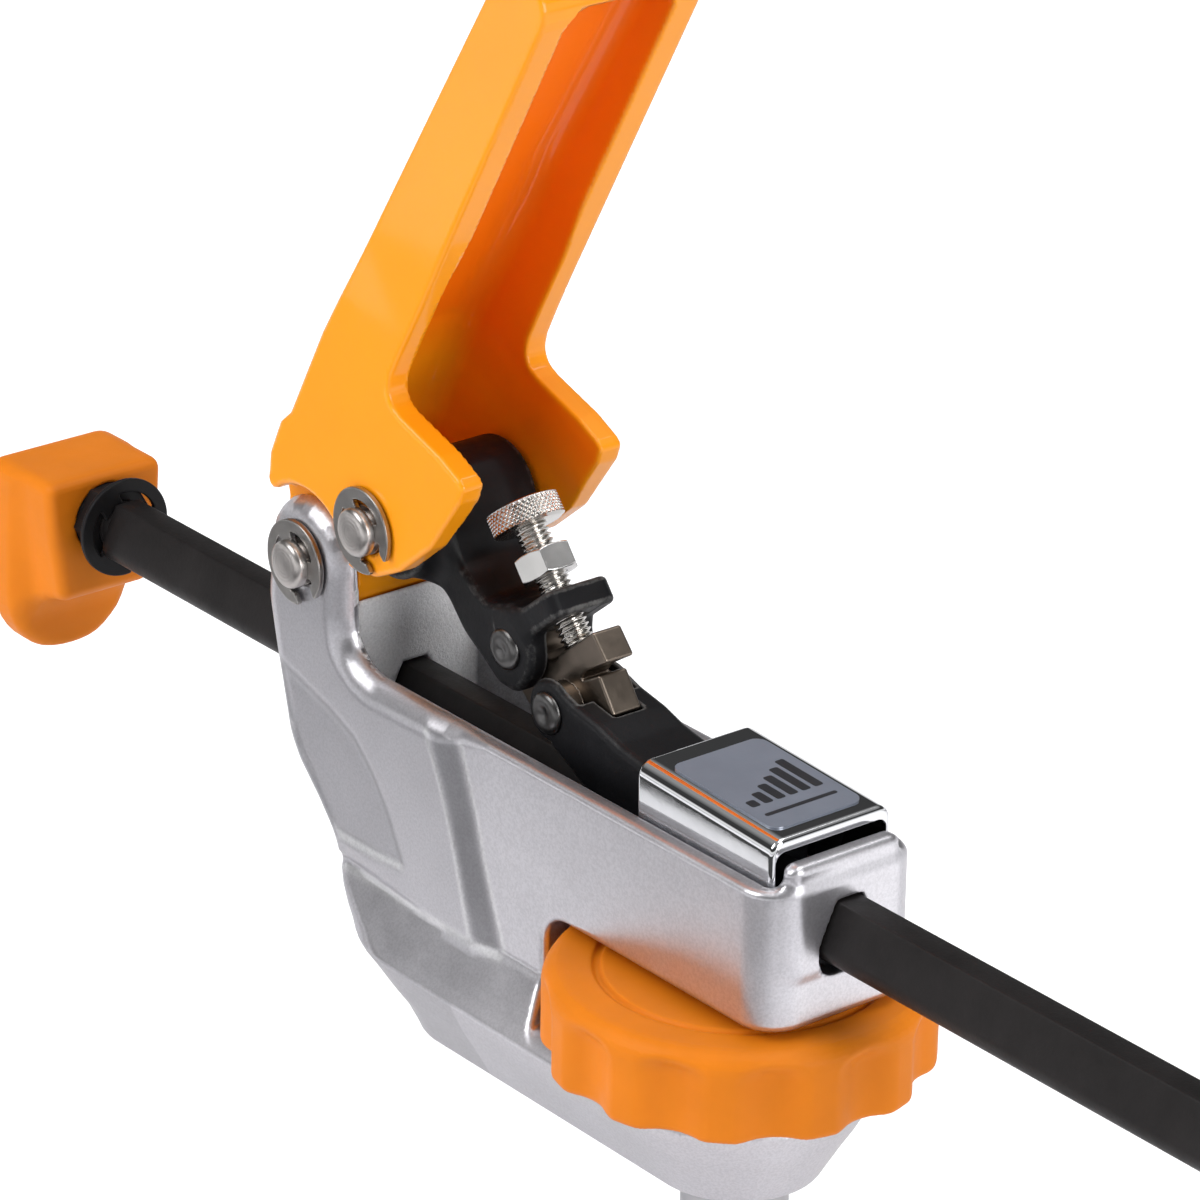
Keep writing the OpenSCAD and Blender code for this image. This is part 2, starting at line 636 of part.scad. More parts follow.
// Lower lever: a channel of sheet over the rod. Its side, from the front rivet, in shares of its length
lever_shares = [[0, 0.15], [0.17, 0.095], [0.34, 0.065], [0.48, 0.022], [0.62, 0], [1, -0.05],
                [1, -0.3], [0.3, -0.3], [0, -0.15]];
lever_slot_share = 0.36;
module lever_view() {
    translate(pivot_d) polygon(lever_shares * lever_len);
    translate(pivot_d) circle(lever_nose_r);
}
module lever_web() {
    top = [for (i = [1:5]) lever_shares[i] * lever_len];
    translate(pivot_d) polygon(concat(top, [for (i = [4:-1:0]) top[i] - [0, lever_t]]));
}
module lower_lever() {
    color([0.1, 0.1, 0.11]) difference() {
        union() {
            both_sides() translate([0, lever_w / 2, 0]) rotate([90, 0, 0]) linear_extrude(lever_t) lever_view();
            difference() {
                across(lever_w - lever_t) lever_web();
                // The slot for the tongue's tooth
                translate([pivot_d[0], -tongue_t / 2 - pass, 0])
                    cube([lever_len * lever_slot_share, tongue_t + 2 * pass, 2 * pivot_z]);
            }
        }
        bar(pivot_d, rivet_d / 2 + run, lever_w + over);
    }
}

// Grip plates round the rod, behind the lever's tail
grip_t = 2.4;
grips = 3;
grip_gap = 0.2;
grip_w = 2 * (cover_y - cover_t) - 6 * pass;
grip_rise = 0.75;
module grip_plates() {
    start = pivot_d[0] + lever_len + pass;
    color([0.3, 0.3, 0.32]) for (i = [0:grips - 1]) difference() {
        translate([start + i * (grip_t + grip_gap), 0, 0]) lengthwise(grip_t)
            round_rect(grip_w, floor_z + 2 * pass, rod_z + grip_rise * rod_h, rod_corner);
        translate([start + i * (grip_t + grip_gap) - over, 0, rod_z]) lengthwise(grip_t + 2 * over)
            rod_section(2 * pass);
    }
}

// Force screw, its knurled head and its lock nut
head_low_z = screw_len - head_h;
module thread(r, low, high, pitch) {
    depth = 0.25 * pitch;
    turns = floor((high - low) / pitch);
    rotate_extrude() polygon(concat(
        [[0, low], [r - 2 * depth, low]],
        [for (i = [0:turns - 1]) each [[r - depth, low + (i + 0.25) * pitch], [r, low + (i + 0.5) * pitch],
            [r - depth, low + (i + 0.75) * pitch]]],
        [[r - 2 * depth, high], [0, high]]));
}
module force_screw() {
    color([0.75, 0.74, 0.72]) on_screw() thread(screw_d / 2, run, screw_len - head_h / 2, screw_pitch);
}
knurls = 36;
module knurled_head() {
    bite = head_d / 40;
    bore_h = head_h / 2;
    color([0.8, 0.8, 0.8]) on_screw() translate([0, 0, head_low_z]) difference() {
        rotate_extrude() polygon([[0, 0], [head_d / 2 - 2 * bite, 0], [head_d / 2, 2 * bite],
            [head_d / 2, head_h - 2 * bite], [head_d / 2 - 2 * bite, head_h], [0, head_h]]);
        translate([0, 0, -over]) cylinder(r = screw_d / 2, h = bore_h + over);
        for (i = [0:knurls - 1]) rotate(i * 360 / knurls) translate([head_d / 2, 0, -over])
            rotate(45) translate([-bite / 2, -bite / 2]) cube([bite, bite, head_h + 2 * over]);
    }
}
nut_low = 13;
module lock_nut() {
    color([0.85, 0.85, 0.86]) on_screw() translate([0, 0, nut_low]) difference() {
        intersection() {
            cylinder(r = nut_af / sqrt(3), h = nut_h, $fn = 6);
            rotate_extrude() polygon([[0, 0], [nut_af / 2 - pass / 2, 0], [nut_af / sqrt(3), nut_h / 6],
                [nut_af / sqrt(3), nut_h * 5 / 6], [nut_af / 2 - pass / 2, nut_h], [0, nut_h]]);
        }
        translate([0, 0, -over]) cylinder(r = screw_d / 2 + run, h = nut_h + 2 * over);
    }
}

// Rod
rod_front = -pivot_x - rod_reach;
neck_r = 0.43 * rod_w;
rod_mid = rod_z - rod_h / 2;
flange_t = 2.6;
flange_r = 0.56 * rod_w;
pad_clip_r = 0.84 * rod_w;
collar_len = 5.2;
collar_af = 15;
gland_len = 4;
gland_r = 0.47 * collar_af;
neck_len = clip_t + run + collar_len + gland_len + pass + flange_t;
pad_back = rod_front + neck_len - clip_t - run - collar_len;
module push_rod() {
    color([0.09, 0.09, 0.1]) union() {
        difference() {
            translate([rod_front + neck_len, 0, rod_z]) lengthwise(rod_len - neck_len) rod_section(0);
            translate([tail_x, 0, rod_mid]) cylinder(r = tail_pin_d / 2 + run, h = 2 * rod_h, center = true);
        }
        translate([rod_front, 0, rod_mid]) rotate([0, 90, 0]) rotate_extrude() polygon([
            [0, 0], [flange_r, 0], [flange_r, flange_t], [neck_r, flange_t], [neck_r, neck_len - clip_t - run],
            [neck_r - pass, neck_len - clip_t - run], [neck_r - pass, neck_len + over], [0, neck_len + over]]);
    }
}
tail_pin_d = 4;
tail_x = rod_front + rod_len - 1.5 * tail_pin_d;
module tail_pin() {
    color([0.5, 0.5, 0.52]) translate([tail_x, 0, rod_mid])
        cylinder(r = tail_pin_d / 2, h = rod_h + 1.4 * tail_pin_d, center = true);
}
module pad_clip() {
    color([0.1, 0.1, 0.11]) translate([rod_front + neck_len - clip_t - run / 2, 0, rod_mid]) rotate([90, 0, 90])
        linear_extrude(clip_t) rotate(180) clip_plan(pad_clip_r, neck_r - pass);
}
module rod_collar() {
    color([0.12, 0.12, 0.13]) translate([pad_back - gland_len, 0, rod_mid]) rotate([0, 90, 0]) difference() {
        union() {
            translate([0, 0, gland_len]) cylinder(r = collar_af / sqrt(3), h = collar_len - pass, $fn = 6);
            cylinder(r = gland_r, h = gland_len + pass);
        }
        translate([0, 0, -over]) cylinder(r = neck_r + run, h = gland_len + collar_len + 2 * over);
    }
}

// Jaw pad. Its side view, as shares of its whole thickness and of its height
pad_shares = [[0, 1], [0, 0.42], [0.08, 0.385], [0.3, 0.36], [0.48, 0.31], [0.58, 0.22], [0.6, 0.1], [0.6, 0], [1, 0], [1, 1]];
pad_deep = pad_block + pad_plate * 0.4;
pad_high = pad_rise + pad_drop;
module jaw_pad() {
    color([0.97, 0.58, 0.2]) difference() {
        intersection() {
            translate([pad_back, 0, rod_z - pad_drop]) across(2 * pad_w) polygon(
                [for (s = pad_shares) [-s[0] * pad_deep, s[1] * pad_high]]);
            translate([pad_back - 2 * pad_deep, 0, 0]) lengthwise(3 * pad_deep) union() {
                translate([0, rod_z - pad_drop + pad_w / 2]) circle(pad_w / 2);
                translate([-pad_w / 2, rod_z - pad_drop + pad_w / 2]) square([pad_w, pad_high - pad_w / 2 - pad_corner]);
                translate([pad_corner - pad_w / 2, rod_z]) square([pad_w - 2 * pad_corner, pad_rise]);
                for (y = [-1, 1]) translate([y * (pad_w / 2 - pad_corner), rod_z + pad_rise - pad_corner]) circle(pad_corner);
            }
        }
        translate([pad_back, 0, rod_mid]) rotate([0, -90, 0]) {
            translate([0, 0, -over]) cylinder(r = gland_r + run, h = gland_len + over);
            cylinder(r = flange_r + pass, h = gland_len + flange_t + 3 * pass);
        }
    }
}
pad_corner = 2.4;

body_casting();
dog_peg();
peg_cone();
draw_bolt();
clamp_knob();
knob_nut();
thrust_washer();
body_pivot_pin();
body_pivot_clips();
lever_cover();
label_plate();
handle();
link_pivot_pin();
link_pivot_clips();
upper_link();
tongue();
tongue_rivet();
lower_lever();
lever_rivet();
grip_plates();
force_screw();
knurled_head();
lock_nut();
push_rod();
rod_collar();
pad_clip();
jaw_pad();
tail_pin();
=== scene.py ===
"""Bench dog clamp: its look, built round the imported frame.

Pieces are worked out in millimetres in the frame of the CAD model: X runs along the rod to its
tail, the jaw pad is at -X, Z is up and the peg's axis is at X 0. Most shapes are distance
fields, negative inside, whose surface is meshed on a grid and then moved onto the field.
"""
import math

import bmesh
import bpy
import numpy as np
from mathutils import Matrix, Vector


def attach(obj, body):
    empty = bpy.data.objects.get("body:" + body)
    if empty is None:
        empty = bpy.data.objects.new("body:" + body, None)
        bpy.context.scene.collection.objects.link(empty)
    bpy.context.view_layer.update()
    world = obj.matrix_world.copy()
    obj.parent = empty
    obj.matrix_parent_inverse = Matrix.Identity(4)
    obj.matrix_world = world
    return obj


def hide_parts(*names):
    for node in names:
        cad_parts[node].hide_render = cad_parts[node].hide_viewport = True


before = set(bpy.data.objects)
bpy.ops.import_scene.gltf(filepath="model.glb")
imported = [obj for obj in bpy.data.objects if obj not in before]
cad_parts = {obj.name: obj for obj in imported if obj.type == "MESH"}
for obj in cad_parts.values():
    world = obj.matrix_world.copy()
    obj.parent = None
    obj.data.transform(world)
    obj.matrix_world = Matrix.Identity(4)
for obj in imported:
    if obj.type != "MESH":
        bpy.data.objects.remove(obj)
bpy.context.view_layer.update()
MM = 0.001


def cos_sin(degrees):
    return math.cos(math.radians(degrees)), math.sin(math.radians(degrees))


# Distance fields
def cut(a, b, r=0.0):
    """Inside both a and b, with the edge between them rounded to radius r."""
    if np.max(r) <= 0:
        return np.maximum(a, b)
    u, v = a + r, b + r
    return np.minimum(np.maximum(u, v), 0) + np.hypot(np.maximum(u, 0), np.maximum(v, 0)) - r


def join(a, b, r=0.0):
    """Inside a or b, with a fillet of radius r."""
    return -cut(-a, -b, r)


def drill(a, b, r=0.0):
    """Inside a and outside b."""
    return cut(a, -b, r)


def soften(points, radius, steps=6):
    """Rounds the corners of an outline. radius is one size or one for each corner."""
    p = np.array(points, float)
    n = len(p)
    radii = [radius] * n if np.isscalar(radius) else list(radius)
    out = []
    for i in range(n):
        a, b, c = p[i - 1], p[i], p[(i + 1) % n]
        u, v = a - b, c - b
        lu, lv = np.linalg.norm(u), np.linalg.norm(v)
        u, v = u / lu, v / lv
        half = math.acos(max(-1.0, min(1.0, float(u @ v)))) / 2
        if radii[i] <= 0 or half > 1.55 or half < 0.02:
            out.append(b)
            continue
        reach = min(radii[i] / math.tan(half), 0.48 * lu, 0.48 * lv)
        r = reach * math.tan(half)
        mid = (u + v) / np.linalg.norm(u + v)
        centre = b + mid * r / math.sin(half)
        s, e = b + u * reach - centre, b + v * reach - centre
        turn = math.atan2(s[0] * e[1] - s[1] * e[0], s @ e)
        for k in range(steps + 1):
            t = turn * k / steps
            out.append(centre + [s[0] * math.cos(t) - s[1] * math.sin(t), s[0] * math.sin(t) + s[1] * math.cos(t)])
    return np.array(out)


def corner(points, i, r):
    """The points that round one corner of an outline."""
    return soften([points[i - 1], points[i], points[(i + 1) % len(points)]], [0, r, 0], 4)[1:-1]


def scaled(points, k):
    return [(a * k, b * k) for a, b in points]


def poly(points, x, y, values=None):
    """Signed distance to a closed outline, and the value interpolated along it where given."""
    p = np.asarray(points, float)
    x, y = np.broadcast_arrays(np.asarray(x, float), np.asarray(y, float))
    best = np.full(x.shape, 1e18)
    value = np.zeros(x.shape)
    inside = np.zeros(x.shape, bool)
    n = len(p)
    for i in range(n):
        (ax, ay), (bx, by) = p[i], p[(i + 1) % n]
        ex, ey = bx - ax, by - ay
        size = ex * ex + ey * ey
        if size < 1e-12:
            continue
        t = np.clip(((x - ax) * ex + (y - ay) * ey) / size, 0, 1)
        d = (x - ax - t * ex) ** 2 + (y - ay - t * ey) ** 2
        near = d < best
        best = np.where(near, d, best)
        if values is not None:
            value = np.where(near, values[i] + t * (values[(i + 1) % n] - values[i]), value)
        if ay != by:
            inside ^= ((ay > y) != (by > y)) & (x < ex * (y - ay) / ey + ax)
    d = np.where(inside, -1.0, 1.0) * np.sqrt(best)
    return d if values is None else (d, value)


def disc(x, y, centre, r):
    """Signed distance to a circle."""
    return np.hypot(x - centre[0], y - centre[1]) - r


def soft_step(t, k=0.1):
    """0 below 0 and 1 above 1, with soft corners k wide."""
    def ramp(s):
        s = np.clip(s / k, -1, 1)
        return k * (s + 1) ** 2 / 4
    return np.where(t < 0.5, np.where(t < k, ramp(t), t), 1 - np.where(1 - t < k, ramp(1 - t), 1 - t))


def nets(field, low, high, step):
    """Meshes a field between two corners with surface nets. Returns points and quads."""
    axes = [np.arange(int(math.ceil((high[i] - low[i]) / step)) + 1) * step + low[i] for i in range(3)]
    f = field(axes[0][:, None, None], axes[1][None, :, None], axes[2][None, None, :]).astype(np.float32)
    f = np.broadcast_to(f, [len(a) for a in axes]).copy()
    for axis in range(3):
        for end in (0, -1):
            face = np.moveaxis(f, axis, 0)[end]
            np.maximum(face, step, out=face)
    inside = f < 0
    cells = tuple(n - 1 for n in f.shape)
    total = np.zeros(cells + (3,), np.float32)
    count = np.zeros(cells, np.int16)
    crossings = []
    ends = (slice(0, -1), slice(1, None))

    def part(array, which):
        """The array without its last (0) or first (1) layer along each axis in which."""
        return array[tuple(ends[which[k]] if k in which else slice(None) for k in range(3))]

    for axis in range(3):
        a, b = part(f, {axis: 0}), part(f, {axis: 1})
        cross = part(inside, {axis: 0}) != part(inside, {axis: 1})
        with np.errstate(divide="ignore", invalid="ignore"):
            t = np.where(cross, a / (a - b), 0)
        crossings.append(cross)
        o1, o2 = [k for k in range(3) if k != axis]
        for d1, d2 in ((0, 0), (0, 1), (1, 0), (1, 1)):
            c = part(cross, {o1: d1, o2: d2})
            count += c
            total[..., axis] += np.where(c, part(t, {o1: d1, o2: d2}), 0)
            if d1:
                total[..., o1] += c
            if d2:
                total[..., o2] += c
    active = count > 0
    index = np.full(cells, -1, np.int64)
    index[active] = np.arange(int(active.sum()))
    where = np.argwhere(active)
    points = (where + total[active] / count[active][:, None]) * step + np.array(low)
    quads = []
    for axis in range(3):
        o1, o2 = (axis + 1) % 3, (axis + 2) % 3
        at = np.argwhere(crossings[axis])
        keep = (at[:, o1] > 0) & (at[:, o2] > 0) & (at[:, o1] < cells[o1]) & (at[:, o2] < cells[o2])
        at = at[keep]
        corners = []
        for d1, d2 in ((1, 1), (0, 1), (0, 0), (1, 0)):
            c = at.copy()
            c[:, o1] -= d1
            c[:, o2] -= d2
            corners.append(index[c[:, 0], c[:, 1], c[:, 2]])
        q = np.stack(corners, 1)
        start = inside[at[:, 0], at[:, 1], at[:, 2]]
        q[~start] = q[~start][:, ::-1]
        quads.append(q)
    return points, np.concatenate(quads)


def slope(field, p, h=0.05):
    """A field's gradient at the points p."""
    g = np.empty_like(p)
    for k in range(3):
        d = np.zeros(3)
        d[k] = h
        a, b = p + d, p - d
        g[:, k] = (field(a[:, 0], a[:, 1], a[:, 2]) - field(b[:, 0], b[:, 1], b[:, 2])) / (2 * h)
    return g


def placed(name, data):
    """A new object in the scene."""
    obj = bpy.data.objects.new(name, data)
    bpy.context.scene.collection.objects.link(obj)
    return obj


def mesh_object(name, points, faces, normals=None, wear_and_painted_light=None):
    """A Blender mesh in metres from points in millimetres."""
    mesh = bpy.data.meshes.new(name)
    mesh.from_pydata((np.asarray(points, float) * MM).tolist(), [], faces)
    mesh.validate()
    mesh.polygons.foreach_set("use_smooth", np.ones(len(mesh.polygons), bool))
    if wear_and_painted_light is not None:
        # The attribute holds edge wear on some parts, and shares of painted shade and painted highlight on others
        layer = mesh.color_attributes.new("wear_and_painted_light", "FLOAT_COLOR", "POINT")
        rgba = np.ones((len(points), 4))
        wear_and_painted_light = np.asarray(wear_and_painted_light, float)
        rgba[:, :3] = wear_and_painted_light[:, None] if wear_and_painted_light.ndim == 1 else wear_and_painted_light
        layer.data.foreach_set("color", rgba.ravel())
    if normals is not None:
        mesh.normals_split_custom_set_from_vertices(normals.tolist())
    return placed(name, mesh)


def solid(name, field, low, high, step, worn=False, paint=None):
    """The mesh of a field, moved onto it, with normals from its slope and edge wear from its curving."""
    p, quads = nets(field, low, high, step)
    for _ in range(3):
        v = field(p[:, 0], p[:, 1], p[:, 2])
        g = slope(field, p)
        size = np.maximum((g * g).sum(1), 0.25)
        move = -(v / size)[:, None] * g
        far = np.linalg.norm(move, axis=1)
        move *= np.minimum(1, 0.8 * step / np.maximum(far, 1e-9))[:, None]
        p = p + move
    g = slope(field, p)
    n = g / np.maximum(np.linalg.norm(g, axis=1), 1e-9)[:, None]
    wear_and_painted_light = None
    if worn:
        # An edge is where the field rises to every side within this distance
        d = 0.7
        inner = p - n * 0.02
        bend = np.zeros(len(p))
        side = np.cross(n, [0.3, 0.5, 0.81])
        side /= np.maximum(np.linalg.norm(side, axis=1), 1e-9)[:, None]
        other = np.cross(n, side)
        for t in (side, other, (side + other) * 0.707, (side - other) * 0.707):
            for s in (-1, 1):
                q = inner + t * (s * d)
                bend = np.maximum(bend, field(q[:, 0], q[:, 1], q[:, 2]))
        wear_and_painted_light = np.clip(bend / d * 2.2, 0, 1)
    # A paint function puts its own shares in its place, such as painted shade and painted highlight
    if paint is not None:
        wear_and_painted_light = paint(p, n)
    return mesh_object(name, p, quads.tolist(), n, wear_and_painted_light)


# Solids of revolution, threads and knurls
def basis(axis):
    """Two directions across an axis, and the axis itself, at unit length."""
    axis = np.array(axis, float)
    axis /= np.linalg.norm(axis)
    u = np.cross([0, 1, 0] if abs(axis[1]) < 0.9 else [1, 0, 0], axis)
    u /= np.linalg.norm(u)
    return u, np.cross(axis, u), axis


def tube(name, points, around, first=True, last=True):
    """Rings of points joined to a tube, with its first and last ring filled."""
    m = len(points) // around
    i, j = np.meshgrid(np.arange(m - 1), np.arange(around), indexing="ij")
    k = (j + 1) % around
    quads = np.stack([i * around + j, i * around + k, (i + 1) * around + k, (i + 1) * around + j], -1)
    faces = quads.reshape(-1, 4).tolist()
    if first:
        faces.append(list(range(around))[::-1])
    if last:
        faces.append(list(range((m - 1) * around, m * around)))
    return mesh_object(name, points, faces)


def turned(name, rows, origin, axis, around, shape=None):
    """Rows of (radius, height) turned about an axis. shape(angle, r, h) may alter the radius."""
    u, v, w = basis(axis)
    a = np.arange(around) * 2 * math.pi / around
    pts = []
    for r, h in rows:
        rr = np.full(around, float(r)) if shape is None else shape(a, float(r), float(h))
        pts.append(np.outer(rr * np.cos(a), u) + np.outer(rr * np.sin(a), v) + np.outer(np.full(around, h), w))
    p = np.concatenate(pts) + np.array(origin, float)
    return tube(name, p, around, rows[0][0] > 0.001, rows[-1][0] > 0.001)


def round_rows(rows, r):
    """Rounds a turned profile's corners, leaving its two ends."""
    pts = [rows[0]]
    for i in range(1, len(rows) - 1):
        pts += [tuple(q) for q in corner(rows, i, r)]
    return pts + [rows[-1]]


def sharp(obj, angle=35):
    """Splits the shading at corners sharper than the angle."""
    bpy.context.view_layer.objects.active = obj
    for o in bpy.context.selected_objects:
        o.select_set(False)
    obj.select_set(True)
    bpy.ops.object.shade_smooth_by_angle(angle=math.radians(angle))


def along(origin, degrees):
    """A function that gives points of the side view along and across a line through origin."""
    c, s = cos_sin(degrees)

    def to_line(x, z):
        dx, dz = x - origin[0], z - origin[1]
        return dx * c + dz * s, -dx * s + dz * c
    return to_line


# Sizes shared with the CAD model, as points (x, z) in the side view
def spun(p, degrees):
    """A point turned about 0, 0."""
    c, s = cos_sin(degrees)
    return np.array([p[0] * c - p[1] * s, p[0] * s + p[1] * c])


ROD_Z, RIM_Z, FLOOR_Z, OVER_Z, PLATE_Z, KNOB_Z = 62.14, 66.14, 44.64, 39.84, 20.0, 21.54
FRONT_Y, INNER_Y, EAR_IN = 18.4, 13.3, 13.9
CHEEK_Y, CHEEK_IN, EAR_R, HUB_R, PIN_R = 17.7, 13.6, 11.7, 11.0, 4.5
CRANK, LINK, LEVER = 22.8, 46.2, 40.0
LEAN, CRANK_RISE, LINK_FALL, SCREW_LEAN = 59.0, 33.2, 30.7, 39.2
# The handle's pivot, the link's pivot, the tongue's rivet, the lever's rivet and the screw's tip
A = np.array([-103, 82.84])
B = A + spun((CRANK, 0), CRANK_RISE)
RIVET_AT = 0.68 * LINK
C = B + spun((RIVET_AT, 0), -LINK_FALL)
D = B + spun((LINK, 0), -LINK_FALL)
TIP = B + spun((0.862 * LINK, 0.181 * LINK), -LINK_FALL)
SCREW_AXIS = np.array([-cos_sin(SCREW_LEAN)[1], 0, cos_sin(SCREW_LEAN)[0]])
# The rod's middle lies this far below its top
ROD_DROP = 5.65
ROD_MID = ROD_Z - ROD_DROP
ROD_FRONT, ROD_TAIL = -198.6, 121.4
# Gap round a pin in its hole, and the radius of a rivet's hole
PIN_GAP = 0.05
RIVET_HOLE = 3.05


def rod_outline(gap, edge=0.5):
    """The rod's section, its top at height 0."""
    top, mid, low, r = 2.6 + gap / 2, 2.45, -7.9, 3.4 + gap
    span = math.hypot(top - mid, gap - low)
    start = math.degrees(math.atan2(low - gap, mid - top)) + math.degrees(math.asin(r / span)) + 90
    turns = [cos_sin(start - i * (start + 90) / 12) for i in range(13)]
    arc = [(mid + r * c, low + r * s) for c, s in turns]
    pts = [(-top, gap), (top, gap)] + arc + [(-x, y) for x, y in reversed(arc)]
    return soften(pts, [edge, edge] + [0] * (len(pts) - 2), 3)


# Materials
def principled(name, colour, rough=0.5, metal=0.0, coat=0.0, coat_rough=0.1, spec=0.5):
    """A new material with its node tree and shader."""
    mat = bpy.data.materials.new(name)
    mat.use_nodes = True
    tree = mat.node_tree
    shader = tree.nodes["Principled BSDF"]
    for key, value in (("Base Color", (*colour, 1)), ("Roughness", rough), ("Metallic", metal), ("Coat Weight", coat),
                       ("Coat Roughness", coat_rough), ("Specular IOR Level", spec)):
        shader.inputs[key].default_value = value
    return mat, tree, shader


def feed(tree, value, socket):
    """Links a socket, or sets a fixed value."""
    if isinstance(value, bpy.types.NodeSocket):
        tree.links.new(value, socket)
    else:
        socket.default_value = value


def node(tree, kind, **values):
    """A new node, its inputs or settings given by name."""
    n = tree.nodes.new(kind)
    for key, value in values.items():
        if key in n.inputs:
            feed(tree, value, n.inputs[key])
        else:
            setattr(n, key, value)
    return n


def math_node(tree, operation, *values, clamp=False):
    n = node(tree, "ShaderNodeMath", operation=operation, use_clamp=clamp)
    for value, socket in zip(values, n.inputs):
        feed(tree, value, socket)
    return n.outputs["Value"]


def noise(tree, scale, detail=3.0, rough=0.5):
    """Noise over the object's own coordinates, its scale in metres to the minus one."""
    coord = node(tree, "ShaderNodeTexCoord").outputs["Object"]
    return node(tree, "ShaderNodeTexNoise", Scale=scale, Detail=detail, Roughness=rough, Vector=coord).outputs["Fac"]


def ramp(tree, source, stops):
    """A colour ramp over source, from stops of (position, colour or grey)."""
    r = node(tree, "ShaderNodeValToRGB", Fac=source)
    elements = r.color_ramp.elements
    while len(elements) < len(stops):
        elements.new(0.5)
    for e, (at, value) in zip(elements, stops):
        e.position = at
        e.color = (*value, 1) if not np.isscalar(value) else (value, value, value, 1)
    return r.outputs["Color"]


def blend(tree, share, a, b, mode="MIX"):
    """a mixed with b by a share; each is a socket or a fixed value."""
    mix = node(tree, "ShaderNodeMix", data_type="RGBA", blend_type=mode)
    for key, value in (("Factor", share), ("A", a), ("B", b)):
        feed(tree, value, mix.inputs[key])
    return mix.outputs["Result"]


def bump(tree, shader, height, strength, distance, also=None):
    """Bumps a shader's normal by height, on top of another bump where one is given."""
    b = node(tree, "ShaderNodeBump", Strength=strength, Distance=distance, Height=height)
    if also is not None:
        feed(tree, also, b.inputs["Normal"])
    feed(tree, b.outputs["Normal"], shader.inputs["Normal"])
    return b.outputs["Normal"]


def shade(c, k):
    return tuple(min(1.0, v * k) for v in c)


def wander(tree, scale, detail, rough, low, high):
    """A value or colour that wanders between two others."""
    return ramp(tree, noise(tree, scale, detail, rough), [(0.3, low), (0.7, high)])


def tones(tree, scale, detail, rough, colour, low, high):
    """A colour that wanders between two shades of itself."""
    return wander(tree, scale, detail, rough, shade(colour, low), shade(colour, high))


def wear_and_painted_light_of(tree):
    """The mesh's attribute: edge wear, or shares of painted shade and painted highlight."""
    return node(tree, "ShaderNodeAttribute", attribute_name="wear_and_painted_light").outputs


def varied(tree, shader, colour, scale, depth, rough=None, rough_span=0.06):
    """Soft colour and roughness changes over the surface."""
    feed(tree, tones(tree, scale, 4.0, 0.55, colour, 1 - depth, 1 + depth), shader.inputs["Base Color"])
    if rough is not None:
        span = wander(tree, scale * 2.3, 3.0, 0.6, max(rough - rough_span, 0.02), rough + rough_span)
        feed(tree, span, shader.inputs["Roughness"])


def worn_edges(tree, shader, colour, bare, start, end):
    """Mixes bare metal into the colour where the mesh's wear attribute is high."""
    patchy = math_node(tree, "MULTIPLY", wear_and_painted_light_of(tree)["Fac"], noise(tree, 900.0, 5.0, 0.65))
    mask = ramp(tree, patchy, [(start * 0.5, 0.0), (end * 0.5, 1.0)])
    tone = tones(tree, 70.0, 4.0, 0.6, colour, 0.75, 1.3)
    feed(tree, blend(tree, mask, tone, (*bare, 1)), shader.inputs["Base Color"])


def cast_silver():
    """Silver lacquer over a casting: soft gloss with fine flake. The mesh's attribute holds the share of
    rough inside (red), of painted shade (green) and of painted highlight and painted light (blue)."""
    colour = (0.70, 0.688, 0.725)
    mat, tree, sh = principled("cast_lacquer", colour, 0.27, 0.92, 0.2, 0.2)
    inside, grey, bright = node(tree, "ShaderNodeSeparateColor", Color=wear_and_painted_light_of(tree)["Color"]).outputs
    tone = tones(tree, 45.0, 4.0, 0.55, colour, 0.98, 1.08)
    # Painted shade: the green share darkens the lacquer towards a dark grey
    tone = blend(tree, grey, tone, (0.075, 0.078, 0.088, 1))
    # Painted highlight: the blue share lightens it towards near white
    tone = blend(tree, bright, tone, (0.93, 0.93, 0.94, 1))
    fine = ramp(tree, noise(tree, 1900.0, 2.5, 0.65), [(0.36, 0.87), (0.62, 1.0)])
    feed(tree, blend(tree, 1.0, tone, fine, "MULTIPLY"), sh.inputs["Base Color"])
    flake = bump(tree, sh, noise(tree, 2300.0, 2.0, 0.6), 0.35, 0.00006)
    skin = bump(tree, sh, noise(tree, 420.0, 3.0, 0.5), 0.07, 0.00025, flake)
    # Inside the channel the casting is left rough
    grit = math_node(tree, "MULTIPLY", inside, noise(tree, 1300.0, 3.0, 0.7))
    bump(tree, sh, grit, 0.9, 0.0004, skin)
    span = wander(tree, 103.0, 3.0, 0.6, 0.31, 0.37)
    feed(tree, blend(tree, inside, span, (0.5, 0.5, 0.5, 1)), sh.inputs["Roughness"])
    feed(tree, ramp(tree, inside, [(0.0, 0.92), (1.0, 0.3)]), sh.inputs["Metallic"])
    return mat


def enamel(name, colour):
    """Thick glossy enamel with a slight orange-peel ripple."""
    mat, tree, sh = principled(name, colour, 0.42, 0.0, 0.6, 0.06, 0.2)
    tone = tones(tree, 25.0, 4.0, 0.55, colour, 0.965, 1.035)
    # Painted shade: the colour is made deeper inside the channel, where the attribute is high
    feed(tree, blend(tree, wear_and_painted_light_of(tree)["Fac"], tone, (0.92, 0.185, 0.0015, 1)), sh.inputs["Base Color"])
    bump(tree, sh, noise(tree, 260.0, 2.0, 0.5), 0.05, 0.0004)
    return mat


def moulded(name, colour, rough=0.45):
    """Moulded plastic with a fine matte grain."""
    mat, tree, sh = principled(name, colour, rough, 0.0, 0.0, 0.1, 0.16)
    sh.inputs["Subsurface Weight"].default_value = 0.05
    sh.inputs["Subsurface Radius"].default_value = (0.004, 0.0018, 0.0006)
    sh.inputs["Subsurface Scale"].default_value = 0.5
    varied(tree, sh, colour, 55.0, 0.06, rough, 0.05)
    bump(tree, sh, noise(tree, 2600.0, 3.0, 0.6), 0.18, 0.00012)
    return mat


